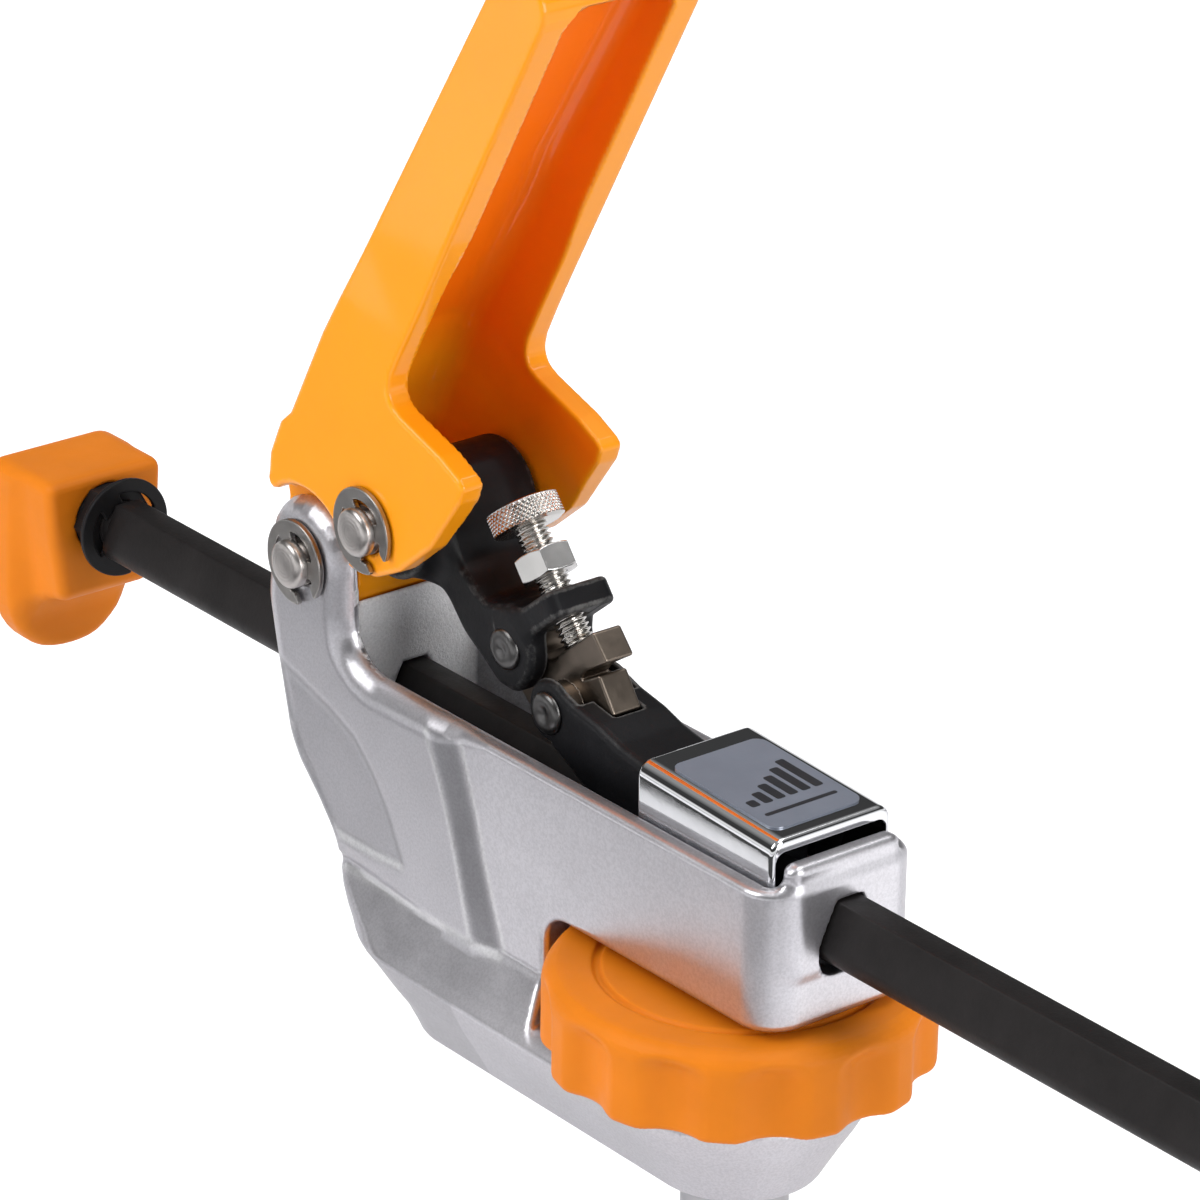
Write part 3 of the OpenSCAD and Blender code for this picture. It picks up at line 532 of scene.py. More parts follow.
def forged_black(name="forged_black", spec=0.2, colour=(0.007, 0.007, 0.0082)):
    """Blackened steel, slightly rough, rubbed bright on its edges."""
    mat, tree, sh = principled(name, colour, 0.42, 0.0, 0.0, 0.1, spec)
    worn_edges(tree, sh, colour, (0.10, 0.098, 0.095), 0.42, 1.0)
    feed(tree, wander(tree, 160.0, 4.0, 0.6, 0.34, 0.52), sh.inputs["Roughness"])
    bump(tree, sh, noise(tree, 1100.0, 4.0, 0.65), 0.35, 0.00012)
    return mat


def metal(name, colour, rough, grain=2500.0, strength=0.08, depth=0.08):
    """Bare or plated metal. Its roughness stays on one side of 0.28 over the whole surface."""
    mat, tree, sh = principled(name, colour, rough, 1.0)
    varied(tree, sh, colour, 120.0, depth, rough, rough * 0.2 if rough < 0.25 else rough - 0.285)
    bump(tree, sh, noise(tree, grain, 3.0, 0.6), strength, 0.00006)
    return mat


def lathe_face(name, colour, rough, centre):
    """Turned metal: fine rings 0.35 mm apart about a centre in the side view."""
    mat, tree, sh = principled(name, colour, rough, 1.0)
    varied(tree, sh, colour, 300.0, 0.1, rough, 0.025)
    coord = node(tree, "ShaderNodeTexCoord").outputs["Object"]
    move = node(tree, "ShaderNodeMapping", Vector=coord, Location=(-centre[0] * MM, 0, -centre[1] * MM))
    flat = node(tree, "ShaderNodeVectorMath", operation="MULTIPLY")
    feed(tree, move.outputs["Vector"], flat.inputs[0])
    feed(tree, (1, 0, 1), flat.inputs[1])
    wave = node(tree, "ShaderNodeTexWave", wave_type="RINGS", rings_direction="SPHERICAL",
                Scale=0.5 / (0.35 * MM) / 3.14, Distortion=0.4, Detail=2.0, Vector=flat.outputs["Vector"])
    bump(tree, sh, wave.outputs["Fac"], 0.25, 0.00005)
    return mat


ORANGE = (0.95, 0.325, 0.004)
PLASTIC = (0.74, 0.205, 0.009)
M = {
    "silver": cast_silver(),
    "orange": enamel("orange_enamel", ORANGE),
    "plastic": moulded("orange_moulded", PLASTIC),
    "black": forged_black(),
    "rod": forged_black("rod_black", 0.22, (0.0125, 0.0108, 0.0108)),
    "bright": metal("nickel_bright", (0.70, 0.68, 0.65), 0.17, 3000.0, 0.05),
    "nut": metal("nut_plated", (0.72, 0.71, 0.70), 0.22, 1800.0, 0.05),
    "chrome": metal("chrome_polished", (0.80, 0.81, 0.83), 0.05, 900.0, 0.012, 0.02),
    "steel": metal("steel_clip", (0.40, 0.385, 0.37), 0.31, 2200.0, 0.10, 0.15),
    "tongue": metal("steel_brown", (0.23, 0.19, 0.155), 0.33, 1600.0, 0.16, 0.2),
    "rivet": metal("rivet_dark", (0.15, 0.147, 0.145), 0.32, 1500.0, 0.18, 0.25),
    "zinc": metal("zinc_steel", (0.48, 0.48, 0.49), 0.33, 1500.0, 0.10, 0.1),
    "peg": metal("peg_alloy", (0.52, 0.52, 0.54), 0.32, 1800.0, 0.08, 0.06),
    "brass": metal("nut_brass", (0.60, 0.42, 0.18), 0.31, 1500.0, 0.08, 0.08),
    "grip": metal("grip_steel", (0.13, 0.13, 0.14), 0.42, 1500.0, 0.15, 0.15),
    "nylon": moulded("black_nylon", (0.012, 0.012, 0.013), 0.4),
}


def dress(obj, material, body, slot, *nodes):
    """Gives a piece its material and its body, and hides the CAD nodes that it takes the place of. The slot is not
    used.
    """
    obj.data.materials.clear()
    obj.data.materials.append(material)
    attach(obj, body)
    if nodes:
        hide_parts(*nodes)
    return obj


# Body casting
FRONT = [(-114.64, 85.33), (-116.29, 72.9), (-113.5, 60.97), (-109.7, 46.31), (-106.6, 41.42),
         (-100.73, 35.79), (-96.0, 30.4), (-94.4, 26.3)]
EAR_BACK = [(-91.3, 82.84), (-91.3, 74.65), (-90.95, 71.73), (-89.5, 69.15), (-86.6, 67.1), (-82.64, 66.14)]
EAR_ARC = [tuple(A + EAR_R * np.array([math.cos(t), math.sin(t)])) for t in np.radians(np.arange(12, 160, 14))]
BODY_VIEW = (FRONT[::-1] + EAR_ARC[::-1] + EAR_BACK + [(45.0, RIM_Z), (45.0, 24.0), (-60.0, 24.0), (-60.0, 26.3)])
n_front, n_arc = len(FRONT), len(EAR_ARC)
# For each corner, the rounding of the edge along it and that of the outline itself
BODY_ROUND = [6.0] * n_front + [5.0] * (n_arc + len(EAR_BACK)) + [1.3, 7.0, 1.0, 1.0]
BODY_SOFT = [14.0] * (n_front - 1) + [6.0] + [0.0] * (n_arc + 1) + [6.0] * 5 + [1.5, 1.0, 0.0, 0.0]
# The foot by height: its half width, how far its front end reaches and the radius of that end in plan
FOOT_Z = [0, 2.8, 7.3, 11, 15, 17.1, 18.0, 19.7, 21.5, 23.8, 26.0, 28]
FOOT_HALF = [15.0, 16.6, 19.2, 21.5, 23.6, 24.5, 24.3, 22.8, 21.4, 19.8, 18.3, 17.1]
FOOT_REACH = [81.0, 81.6, 83.4, 86.8, 90.6, 92.6, 93.4, 94.5, 94.8, 94.8, 94.6, 94.4]
FOOT_TURN = [15.0, 16.6, 19.2, 21.5, 23.6, 23.5, 22.5, 19.5, 15.0, 10.0, 6.0, 4.5]
PANEL = [(-110.2, 62.2), (-103.0, 60.4), (-93.9, 57.8), (-86.3, 54.7), (-80.3, 49.1), (-75.8, 42.9), (-72.8, 37.1),
         (-70.6, 32.9), (-80, 32.2), (-92.5, 32.0), (-98.5, 38.5), (-104.2, 44.6), (-107.4, 50.0), (-110.2, 58.0)]


def softened(points, soft, values):
    """Softens an outline and carries one value for each of its corners."""
    out, kept = [], []
    for i, r in enumerate(soft):
        part = corner(points, i, r)
        out += [tuple(q) for q in part]
        kept += [values[i]] * len(part)
    return np.array(out), kept


body_pts, body_radii = softened(BODY_VIEW, BODY_SOFT, BODY_ROUND)
panel_pts = soften(PANEL, 5.0, 4)
rod_hole = rod_outline(0.3, 0.3)
WINDOW_R, PEG_R, NECK_R, BOLT_R = 36.7, 9.55, 8.05, 4.3
CHANNEL, REAR_X, FOOT_MID = (-92.7, 23.0), 27.0, FOOT_Z[-1] / 2


def body_field(x, y, z):
    """The casting: a column seen from the side, joined to a foot seen from above, with its cuts."""
    ay = np.abs(y)
    t = soft_step(step_share(x, z), 0.06)
    half = FRONT_Y - 1.3 * t
    inset = poly(panel_pts, x, z)
    half = half - 0.45 * soft_step(-inset / 1.8, 0.45)
    side, r = poly(body_pts, x, z, body_radii)
    back = 1 - np.clip((x + 62.0) / 12.0, 0, 1)
    r = np.where(x > -90, 1.3 + (r - 1.3) * back, r)
    column = cut(side, cut(x - REAR_X, ay - half, 7.4), r)
    # The raised middle of the rear wall
    boss = cut(cut(np.abs(x - 25.0) - 2.0, np.maximum(z - 70.44, 50.0 - z), 1.5), ay - 12.3, 2.6)
    column = join(column, boss, 2.2)
    # The foot
    half, reach, turn = (np.interp(z, FOOT_Z, v) for v in (FOOT_HALF, FOOT_REACH, FOOT_TURN))
    wide, ahead = np.hypot(np.maximum(x, 0), y) - half + turn, -x - reach + turn
    plan = np.minimum(np.maximum(wide, ahead), 0) + np.hypot(np.maximum(wide, 0), np.maximum(ahead, 0)) - turn
    foot = cut(0.8 * plan, np.abs(z - FOOT_MID) - FOOT_MID, 0.8)
    f = join(column, foot, 0.9)
    # The window for the knob
    radial = np.minimum(np.hypot(x, y) - WINDOW_R, -x)
    void = cut(cut(radial, z - OVER_Z, 5.0), PLATE_Z - z, 0.6)
    f = drill(f, void, 1.8)
    # The channel
    channel = cut(cut(x - CHANNEL[1], CHANNEL[0] - x, 0.0), FLOOR_Z - z, 1.5)
    channel = cut(channel, ay - INNER_Y, 1.6)
    f = drill(f, channel, 1.0)
    # The gap between the ears
    gap = poly([(-92.2, 77.2), (-94.8, 77.2), (-115.87, 72.45), (-128.4, 71.1), (-128.4, 120), (-92.2, 120)], x, z)
    gap = np.minimum(gap, disc(x, z, A, HUB_R + 0.3))
    f = drill(f, cut(gap, ay - EAR_IN, 0.5), 0.9)
    # The way for the rod
    rod = poly(rod_hole, y, z - ROD_Z)
    rear = np.minimum(rod, poly(rod_hole, y, z - ROD_Z + 2.0))
    f = drill(f, np.where(x > 0, rear, rod), 0.5)
    f = drill(f, disc(x, z, A, PIN_R + PIN_GAP), 0.3)
    # The stepped hole for the peg and its bolt
    for r, top in ((PEG_R, 2.0), (NECK_R, 14.0), (BOLT_R, 21.0)):
        f = np.maximum(f, -cut(np.hypot(x, y) - r, z - top))
    return f


def step_share(x, z):
    """0 before the step in the body's side, 1 behind it."""
    left = np.interp(z, [20.0, 28.9, 43.0, 49.9, 55.0, 60.7, 68.0],
                     [-49.6, -52.8, -57.0, -59.4, -61.5, -64.4, -68.1])
    right = np.interp(z, [24.0, 32.6, 36.3, 43.8, 50.7, 57.5, 64.6, 70.0],
                      [-42.5, -45.9, -47.4, -50.1, -52.2, -54.8, -57.5, -59.8])
    return (x - left) / (right - left)


def bell(t, width):
    """1 where t is 0, fading to both sides."""
    return np.exp(-(t / width) ** 2)


def body_paint(p, n):
    """The shares of rough inside, of painted shade and of painted highlight and painted light at each point."""
    x, y, z = p.T
    ay = np.abs(y)
    within = (ay < 13.95) & (z > 44.5) & (x < 23.1) & (x > -116)
    outside = (ay > 15.5) & (n[:, 2] < 0.45)
    t = step_share(x, z)
    inset = poly(panel_pts, x, z)
    slanted = outside & (z > 27.5) & (z < 63.5)
    # Painted shade over the slanted step in the side, fading at its two edges
    grey = 0.5 * slanted * soft_step(t / 0.22, 0.4) * soft_step((1 - t) / 0.22, 0.4)
    # Painted shade over the front part, deeper on its recessed panel
    front = outside & (t < 0)
    grey = grey + front * (0.20 + 0.17 * soft_step(-inset / 1.5, 0.4))
    # Painted shade along the panel's border, less of it on the border's upward-facing part
    rim = bell(inset + 0.9, 0.9) * front
    low = rim * np.clip(n[:, 2] * 6, 0, 1)
    grey = np.clip(grey + 0.3 * rim - 0.6 * low, 0, 1)
    # Painted highlights along both edges of the step and on the border's upward-facing part
    lit = 0.75 * slanted * (bell(t + 0.02, 0.07) + bell(t - 1.02, 0.07)) + 0.9 * low
    # A painted highlight line along the ledge at the foot
    ledge = bell(z - 27.0, 0.8) * (ay > 17.4) * (ay < 19.3) * (x < -44)
    # The channel's front cross wall is painted bright, standing in for light
    cross = within & (n[:, 0] > 0.6) & (x < -80)
    # The channel's side walls are painted darker, as shade
    grey = np.where(within & (ay > 13.0), 0.62, grey)
    return np.stack([within.astype(float), grey, np.clip(lit + 0.8 * ledge + cross, 0, 1)], 1)


casting = solid("casting", body_field, (-118, -25.6, -0.8), (28, 25.6, 96), 0.75, paint=body_paint)
dress(casting, M["silver"], "frame", "cast_silver", "body_casting")


# Handle, worked out along its own lean: u runs up the handle and v towards its web
uv = along(A, LEAN)
TIP_FRONT, TIP_DEPTH, LONG = 16.9, 13.5, 139.5
FORK_FRONT = [(1.84, 0.81), (0.94, 0.76), (0.77, 0.815), (0.45, 0.78), (0.2, 0.67), (0.19, 0.53)]
FORK_BACK = [(0.26, 0), (0.4, -0.4), (0.63, -0.72), (0.93, -0.91), (1.4, -1.075), (2.02, -1.13), (2.16, -1.1),
             (2.175, -1.02), (2.15, -0.76), (2.03, -0.25), (2.02, -0.12), (2.08, -0.03), (2.2, 0.012), (2.5, 0.03)]
CHEEK = [(LONG, TIP_FRONT)] + scaled(FORK_FRONT + FORK_BACK, CRANK) + [(LONG, TIP_FRONT - TIP_DEPTH)]
cheek_pts = soften(CHEEK, [5.8, 8, 2, 2, 1.5, 1.5, 1.0, 6, 6, 6, 6, 6, 2.5, 1.2, 1.2, 4, 3, 3, 3, 6, 8, 5.8], 5)
VOID = [(-20, 10.2), (4.56, 11.4), (19.6, 13.7), (41.95, 15.32), (136.4, 12.76), (136.4, -60), (-20, -60)]
void_pts = soften(VOID, [0, 0, 4, 10, 4.0, 0, 0], 5)
BRIDGE = [(-0.04, 0.47), (0.2, 0.67), (0.45, 0.78), (0.77, 0.815), (0.93, 0.62), (0.52, 0.06), (0.2, 0)]
bridge_pts = soften(scaled(BRIDGE, CRANK), 1.0, 3)


def handle_field(x, y, z):
    """A folded sheet: two cheeks and a web, with a hub between the ears of the casting."""
    ay = np.abs(y)
    u, v = uv(x, z)
    view = poly(cheek_pts, u, v)
    # The blank is a little wider round its fork than along its arm
    wide = CHEEK_Y - 0.35 * soft_step((u - 50.0) / 14.0, 0.3)
    shell = cut(view, ay - wide, 0.85)
    void = poly(void_pts, u, v)
    # The cheeks are thicker clear of the fork, and thicker again above a step in their free edge
    edge = 69.0 + 5.0 * soft_step(v / 6.0, 0.3)
    thick = 0.7 * soft_step((u - 33.0) / 7.0, 0.3) + 1.2 * soft_step((u - edge) / 13.0, 0.2)
    shell = drill(shell, cut(void, ay - CHEEK_IN + thick, 4.5), 0.5)
    ring = np.hypot(u, v)
    shell = drill(shell, ring - 13.8, 1.0)
    hub = join(ring - HUB_R, cut(poly(bridge_pts, u, v), ring - 15.5, 0.3), 1.0)
    hub = cut(hub, ay - 13.3, 0.4)
    f = np.minimum(shell, hub)
    f = np.maximum(f, PIN_R + PIN_GAP - ring)
    return drill(f, disc(x, z, B, PIN_R + PIN_GAP), 0.4)


def handle_painted_shade(p, n):
    """The share of painted shade: 1 on the channel's walls, 0 on the outside."""
    u, v = uv(p[:, 0], p[:, 2])
    deep = np.clip((13.9 - np.abs(p[:, 1])) / 0.5, 0, 1) * np.clip((-poly(cheek_pts, u, v) - 0.4) / 0.8, 0, 1)
    deep = deep * np.clip((u - 31.0) / 14.0, 0, 1)
    c, s = cos_sin(LEAN)
    return deep * (n[:, 2] * c - n[:, 0] * s < 0.5)


handle = solid("lever_handle", handle_field, (-121, -18.6, 72), (-29, 18.6, 210.5), 0.72, paint=handle_painted_shade)
dress(handle, M["orange"], "handle", "orange_paint", "handle")


# Upper link, worked out along its own line, and across and along the force screw from its tip
in_link = along(B, -LINK_FALL)
on_screw = along(TIP, SCREW_LEAN)
ARM = [(0, 0.2), (0.3, 0.06), (0.5, 0.05), (0.6, 0.17), (0.72, 0.13), (0.84, 0.02), (0.82, -0.12), (0.72, -0.17),
       (0.6, -0.165), (0.46, -0.165), (0.3, -0.12), (0, -0.2)]
arm_pts = soften(scaled(ARM, LINK), [0, 9, 5, 2, 3, 4, 4, 4, 6, 8, 8, 0], 5)
RIVET_S = on_screw(*C)
# Half widths of the link's arm, the lever and the slots for the tongue
LINK_Y, LEVER_Y, SLOT_Y = 7.3, 7.9, 3.4


def link_field(x, y, z):
    ay = np.abs(y)
    p, q = in_link(x, z)
    s, t = on_screw(x, z)
    ring = disc(x, z, B, 0)
    barrel = cut(ring - 10.5, ay - 12.85, 1.0)
    arm = np.minimum(poly(arm_pts, p, q), disc(p, q, (RIVET_AT, 0), 7.16))
    arm = cut(arm, ay - LINK_Y, 1.4)
    f = join(barrel, arm, 4.0)
    # The lug with the screw's thread, then the slot for the tongue
    plan = cut(ay - 7.0, s - 6.6, 2.2)
    lug = cut(cut(plan, -s - 10.2, 0), np.abs(t - 7.1) - 2.5, 1.0)
    f = join(f, lug, 2.4)
    slot = np.minimum(cut(cut(t - 4.6, s - 26.0, 0), -s - 19.4, 0), disc(s, t, RIVET_S, 5.84))
    f = drill(f, cut(slot, ay - SLOT_Y, 0.4), 0.5)
    f = drill(f, np.hypot(s, y) - 3.12, 0.5)
    f = np.maximum(f, PIN_R + PIN_GAP - ring)
    return np.maximum(f, -disc(x, z, C, RIVET_HOLE))


link = solid("link", link_field, (-96, -13.6, 66), (-36, 13.6, 107), 0.42, worn=True)
dress(link, M["black"], "link", "black_steel", "upper_link")

# Tongue, in the screw's frame
TONGUE = [(-0.19, 0.12), (-0.135, 0.03), (-0.125, -0.012), (-0.08, -0.012), (-0.07, -0.003), (0.2, -0.003),
          (0.208, -0.13), (0.07, -0.115), (-0.015, -0.13), (0.13, -0.155), (0.12, -0.32), (0.045, -0.30),
          (-0.03, -0.2), (-0.12, -0.28), (-0.23, -0.29), (-0.366, -0.1), (-0.385, -0.005), (-0.34, 0.12)]
tongue_pts = soften(scaled(TONGUE, LINK),
                    [0.5, 1.5, 1.2, 0.8, 0.8, 0.5, 0.5, 1.5, 0.5, 0.5, 0.5, 2, 2, 3, 3, 3, 3, 2], 4)


def tongue_field(x, y, z):
    s, t = on_screw(x, z)
    view = np.minimum(poly(tongue_pts, s, t), disc(s, t, RIVET_S, 5.54))
    f = cut(view, np.abs(y) - 3.1, 0.35)
    f = np.minimum(f, cut(disc(x, z, D, 4.6), np.abs(y) - 6.0, 0.3))
    f = np.maximum(f, -disc(x, z, C, RIVET_HOLE))
    return np.maximum(f, -disc(x, z, D, RIVET_HOLE))


dress(solid("saddle_tongue", tongue_field, (-64, -6.6, 65), (-30, 6.6, 92), 0.3),
      M["tongue"], "link", "bronze_steel", "tongue")

# Lower lever: bent sheet
LEVER_VIEW = [(0, 0.15), (0.17, 0.095), (0.34, 0.065), (0.48, 0.022), (0.62, 0), (1, -0.05), (1, -0.3), (0.3, -0.3),
              (0, -0.15)]
LEVER_SHEET, LEVER_NOSE = 1.6, 5.2
lever_view = [(D[0] + a * LEVER, D[1] + b * LEVER) for a, b in LEVER_VIEW]
lever_pts = soften(lever_view, [0, 4, 8, 8, 8, 0.6, 0.6, 6, 0], 4)
lever_top = lever_view[1:6]
far_end = D[0] + 1.3 * LEVER
under = lever_top + [(far_end, lever_top[-1][1] - 0.6), (far_end, 40), (D[0] - 20, 40), (D[0] - 20, lever_top[0][1])]
under_pts = [(x, z - LEVER_SHEET) for x, z in under]


def lever_field(x, y, z):
    ay = np.abs(y)
    view = np.minimum(poly(lever_pts, x, z), disc(x, z, D, 6.0))
    f = cut(view, ay - LEVER_Y, 1.7)
    void = poly(under_pts, x, z)
    # The sheet's top stops short of the nose, and has a slot for the tongue's tooth
    open_nose = np.where(x < D[0] + 7, np.maximum(x - D[0] - LEVER_NOSE, 0) - 3, 9e9)
    void = np.minimum(void, open_nose)
    f = drill(f, cut(void, ay - LEVER_Y + LEVER_SHEET, 0.6), 0.25)
    f = drill(f, cut(x - D[0] - 12.9, ay - SLOT_Y, 0.8), 0.2)
    return np.maximum(f, -disc(x, z, D, RIVET_HOLE))


sheet = solid("sheet_lever", lever_field, (-51, -8.6, 58), (-3.4, 8.6, 79), 0.36, worn=True)
dress(sheet, M["black"], "lever", "black_steel", "lower_lever")

# Cover: a bright sheet with rolled edges, its top tilted down to the tail
COVER, COVER_TOP, COVER_Y, COVER_SHEET, TILT = (-13.0, 22.5), 75.64, 13.0, 1.0, 2.6


def cover_field(x, y, z):
    ay = np.abs(y)
    top = z - (COVER_TOP - (x - COVER[0]) * math.tan(math.radians(TILT)))
    outer = cut(cut(ay - COVER_Y, top, 2.8), x - COVER[1], 0.9)
    # The sheet is turned down at its tail end
    lip = 1.5 * soft_step((x - COVER[1] + 2.2) / 0.9, 0.3)
    inner = cut(ay - COVER_Y + COVER_SHEET, top + COVER_SHEET + lip, 1.8)
    f = cut(drill(outer, inner, 0.3), COVER[0] - x, 0.45)
    f = np.maximum(f, 44.7 - z)
    front = cut(x - 6.5, z - 56.6, 2.0)
    return drill(f, front, 0.4)


dress(solid("sheet_cover", cover_field, (-13.6, -13.6, 44), (23.2, 13.6, 76.6), 0.34),
      M["chrome"], "frame", "cover_chrome", "lever_cover")


# Label: a satin plate with a rising row of bars
def label_point(s, y, h):
    """A point on the label: s along it, y across it, h above the cover."""
    c, t = cos_sin(TILT)
    from_edge = 18.46 + s
    return (COVER[0] + from_edge * c + h * t, y, COVER_TOP - from_edge * t + h * c)


def label_slab(name, outline, low, high):
    """A plate of an outline (along, across), from one height above the cover to another."""
    obj = tube(name, [label_point(s, y, h) for h in (low, high) for s, y in outline], len(outline))
    sharp(obj, 30)
    return obj


def oblong(s0, s1, y0, y1, r, steps):
    return soften([(s0, y0), (s1, y0), (s1, y1), (s0, y1)], r, steps)


FILM, INK = (0.25, 0.275, 0.335), (0.02, 0.02, 0.024)
label_mat, tree, shader = principled("label_film", FILM, 0.3, 0.35, 0.6, 0.12)
varied(tree, shader, FILM, 150.0, 0.05, 0.32, 0.04)
dress(label_slab("label", oblong(-13.8, 13.8, -9.9, 9.9, 2.2, 6), 0.02, 0.3),
      label_mat, "frame", "label_film", "label_plate")
ink_mat, tree, shader = principled("label_ink", INK, 0.35, 0.0, 0.5, 0.15)
varied(tree, shader, INK, 200.0, 0.15, 0.35, 0.04)
for i in range(6):
    tall, left = 2.2 + i * 1.75, -7.9 + i * 2.75
    bar = oblong(5.8 - tall, 5.8, left, -6.0 + i * 2.75, 0.45, 3)
    dress(label_slab(f"label_bar_{i}", bar, 0.29, 0.345), ink_mat, "frame", "label_film")
dress(label_slab("label_rule", oblong(8.6, 9.5, -7.9, 7.75, 0.4, 3), 0.29, 0.345), ink_mat, "frame", "label_film")


# Rod
def swept(name, section, stations):
    """A section of (y, z) run along X, with each station's X and inset from the section."""
    sec = np.array(section)
    mid = np.array([0, -ROD_DROP])
    tangent = np.roll(sec, -1, 0) - np.roll(sec, 1, 0)
    out = np.stack([tangent[:, 1], -tangent[:, 0]], 1)
    out /= np.linalg.norm(out, axis=1)[:, None]
    out *= np.sign(((sec - mid) * out).sum(1))[:, None]
    pts = []
    for x, inset in stations:
        s = sec - out * inset
        pts.append(np.stack([np.full(len(s), x), s[:, 0], s[:, 1] + ROD_Z], 1))
    return tube(name, np.concatenate(pts), len(sec))


def tidy(obj, angle=35):
    """Makes a hand-built mesh's faces point outwards and splits its shading at corners."""
    bm = bmesh.new()
    bm.from_mesh(obj.data)
    bmesh.ops.recalc_face_normals(bm, faces=bm.faces)
    bm.to_mesh(obj.data)
    bm.free()
    sharp(obj, angle)
    return obj


NECK_END = -185.35
runs = [(NECK_END, 0.8), (NECK_END + 0.25, 0.3), (NECK_END + 0.8, 0.0)]
runs += [(x, 0.0) for x in np.linspace(-180, 118, 60)]
runs += [(ROD_TAIL - 0.8, 0.0), (ROD_TAIL - 0.25, 0.3), (ROD_TAIL, 0.8)]
rod = swept("keystone_rod", rod_outline(0.0, 0.6), runs)
dress(tidy(rod, 30), M["rod"], "rod", "rod_steel", "push_rod")
neck_rows = [(0, ROD_FRONT), (6.55, ROD_FRONT), (6.55, ROD_FRONT + 2.6), (5.03, ROD_FRONT + 2.6),
             (5.03, NECK_END - 1.15), (4.73, NECK_END - 1.15), (4.73, NECK_END + 0.5), (0, NECK_END + 0.5)]
neck = turned("rod_neck", round_rows(neck_rows, 0.2), (0, 0, ROD_MID), (1, 0, 0), 72)
dress(tidy(neck), M["rod"], "rod", "rod_steel")
pin_rows = round_rows([(0, -8.4), (2.0, -8.4), (2.0, 8.4), (0, 8.4)], 0.5)
pin = turned("stop_pin", pin_rows, (115.4, 0, ROD_MID), (0, 0, 1), 48)
dress(tidy(pin), M["zinc"], "rod", "bright_steel", "tail_pin")

# Jaw pad
PAD_BACK, PAD_DEEP, PAD_LOW, PAD_HIGH, PAD_HALF = -191.7, 21.0, 24.3, 42.3, 14
PAD = [(0, 1), (0, 0.42), (0.08, 0.385), (0.3, 0.36), (0.48, 0.31), (0.58, 0.22), (0.6, 0.1), (0.6, 0), (1, 0), (1, 1)]
pad_pts = soften([(PAD_BACK - a * PAD_DEEP, PAD_LOW + b * PAD_HIGH) for a, b in PAD],
                 [2.6, 4, 3, 3, 5, 8, 3, 2, 2.4, 3.0], 5)
arch = [(PAD_HALF * math.cos(t), PAD_LOW + PAD_HALF + PAD_HALF * math.sin(t))
        for t in np.radians(np.arange(180, 361, 9))]
arch_top = [(PAD_HALF, PAD_LOW + PAD_HIGH), (-PAD_HALF, PAD_LOW + PAD_HIGH)]
arch_pts = soften(arch + arch_top, [0] * len(arch) + [3.4, 3.4], 5)


def pad_field(x, y, z):
    f = cut(poly(pad_pts, x, z), poly(arch_pts, y, z), 2.6)
    ring = np.hypot(y, z - ROD_MID)
    deep = PAD_BACK - x
    # The block narrows downwards, the plate keeps its width
    waist = np.abs(y) - 14.0 + 3.6 * soft_step((63.0 - z) / 22.0, 0.3)
    f = cut(f, join(waist, 12.6 - deep, 5.0), 2.4)
    # A shallow groove round the block where it meets the plate
    f = drill(f, cut(ring - 7.1, deep - 4.0), 0.4)
    return drill(f, cut(ring - 6.9, deep - 7.5), 0.2)


dress(solid("jaw_block", pad_field, (-213.6, -14.8, 23.5), (-190.8, 14.8, 67.4), 0.5),
      M["plastic"], "pad", "pad_plastic", "jaw_pad")


def hex_field(a, b, flats):
    """A hexagon by its size across flats, with two of its flats across a."""
    slant = np.maximum(np.abs(0.5 * a + 0.866 * b), np.abs(0.5 * a - 0.866 * b))
    return np.maximum(np.abs(a), slant) - flats / 2


def collar_field(x, y, z):
    zz = z - ROD_MID
    ring = np.hypot(y, zz)
    nut = cut(hex_field(zz, y, 13.8), np.maximum(PAD_BACK - x, x - PAD_BACK - 4.9), 0.25)
    nut = cut(nut, ring - 7.9 + 0.6 * np.maximum(x - PAD_BACK - 4.0, 0), 0.2)
    gland = cut(ring - 7.05, np.abs(x - PAD_BACK + 1.8) - 2.2, 0.1)
    return np.maximum(np.minimum(nut, gland), 5.08 - ring)


dress(solid("gland_collar", collar_field, (-196.2, -9.4, 47), (-186, 9.4, 66), 0.3),
      M["nylon"], "pad", "black_steel", "rod_collar")


# Retaining clips
def clip_view(u, v, outer, r, mouth):
    """A clip with three prongs; mouth is its opening's direction."""
    c, s = cos_sin(mouth)
    a, b = u * c + v * s, -u * s + v * c
    ring = np.hypot(a, b)
    mid = outer - (outer - r) / 2
    f = cut(ring - outer, -(ring - mid))
    for turn in (60, 180, 300):
        c, s = cos_sin(turn)
        p, q = a * c + b * s, -a * s + b * c
        prong = cut(cut(np.abs(q) - r * 0.5, -p), ring - mid - 0.4)
        f = join(f, prong, 0.5)
    f = drill(f, ring - r, 0.1)
    return drill(f, cut(np.abs(b) - r * 0.75, -a), 0.6)


CLIP_THICK = 1.1


def clip_field(centre, low, mouth, outer, r, axis):
    """A clip of the usual thickness whose near face is at low on the axis y (both sides) or x."""
    half = CLIP_THICK / 2

    def field(x, y, z):
        if axis == "y":
            u, v, w = x - centre[0], z - centre[1], np.abs(y)
        else:
            u, v, w = y, z - centre[1], x
        return cut(clip_view(u, v, outer, r, mouth), np.abs(w - low - half) - half, 0.22)
    return field


def pair(name, centre, low, mouth, body, node_name):
    """The clips at a pivot pin's two ends."""
    field = clip_field(centre, low, mouth, 8.0, 3.51, "y")
    x, z = centre
    for tag, y0, y1 in (("near", -low - 1.6, -low + 0.5), ("far", low - 0.5, low + 1.6)):
        obj = solid(f"{name}_{tag}", field, (x - 8.6, y0, z - 8.6), (x + 8.6, y1, z + 8.6), 0.22)
        dress(obj, M["steel"], body, "clip_steel", node_name)


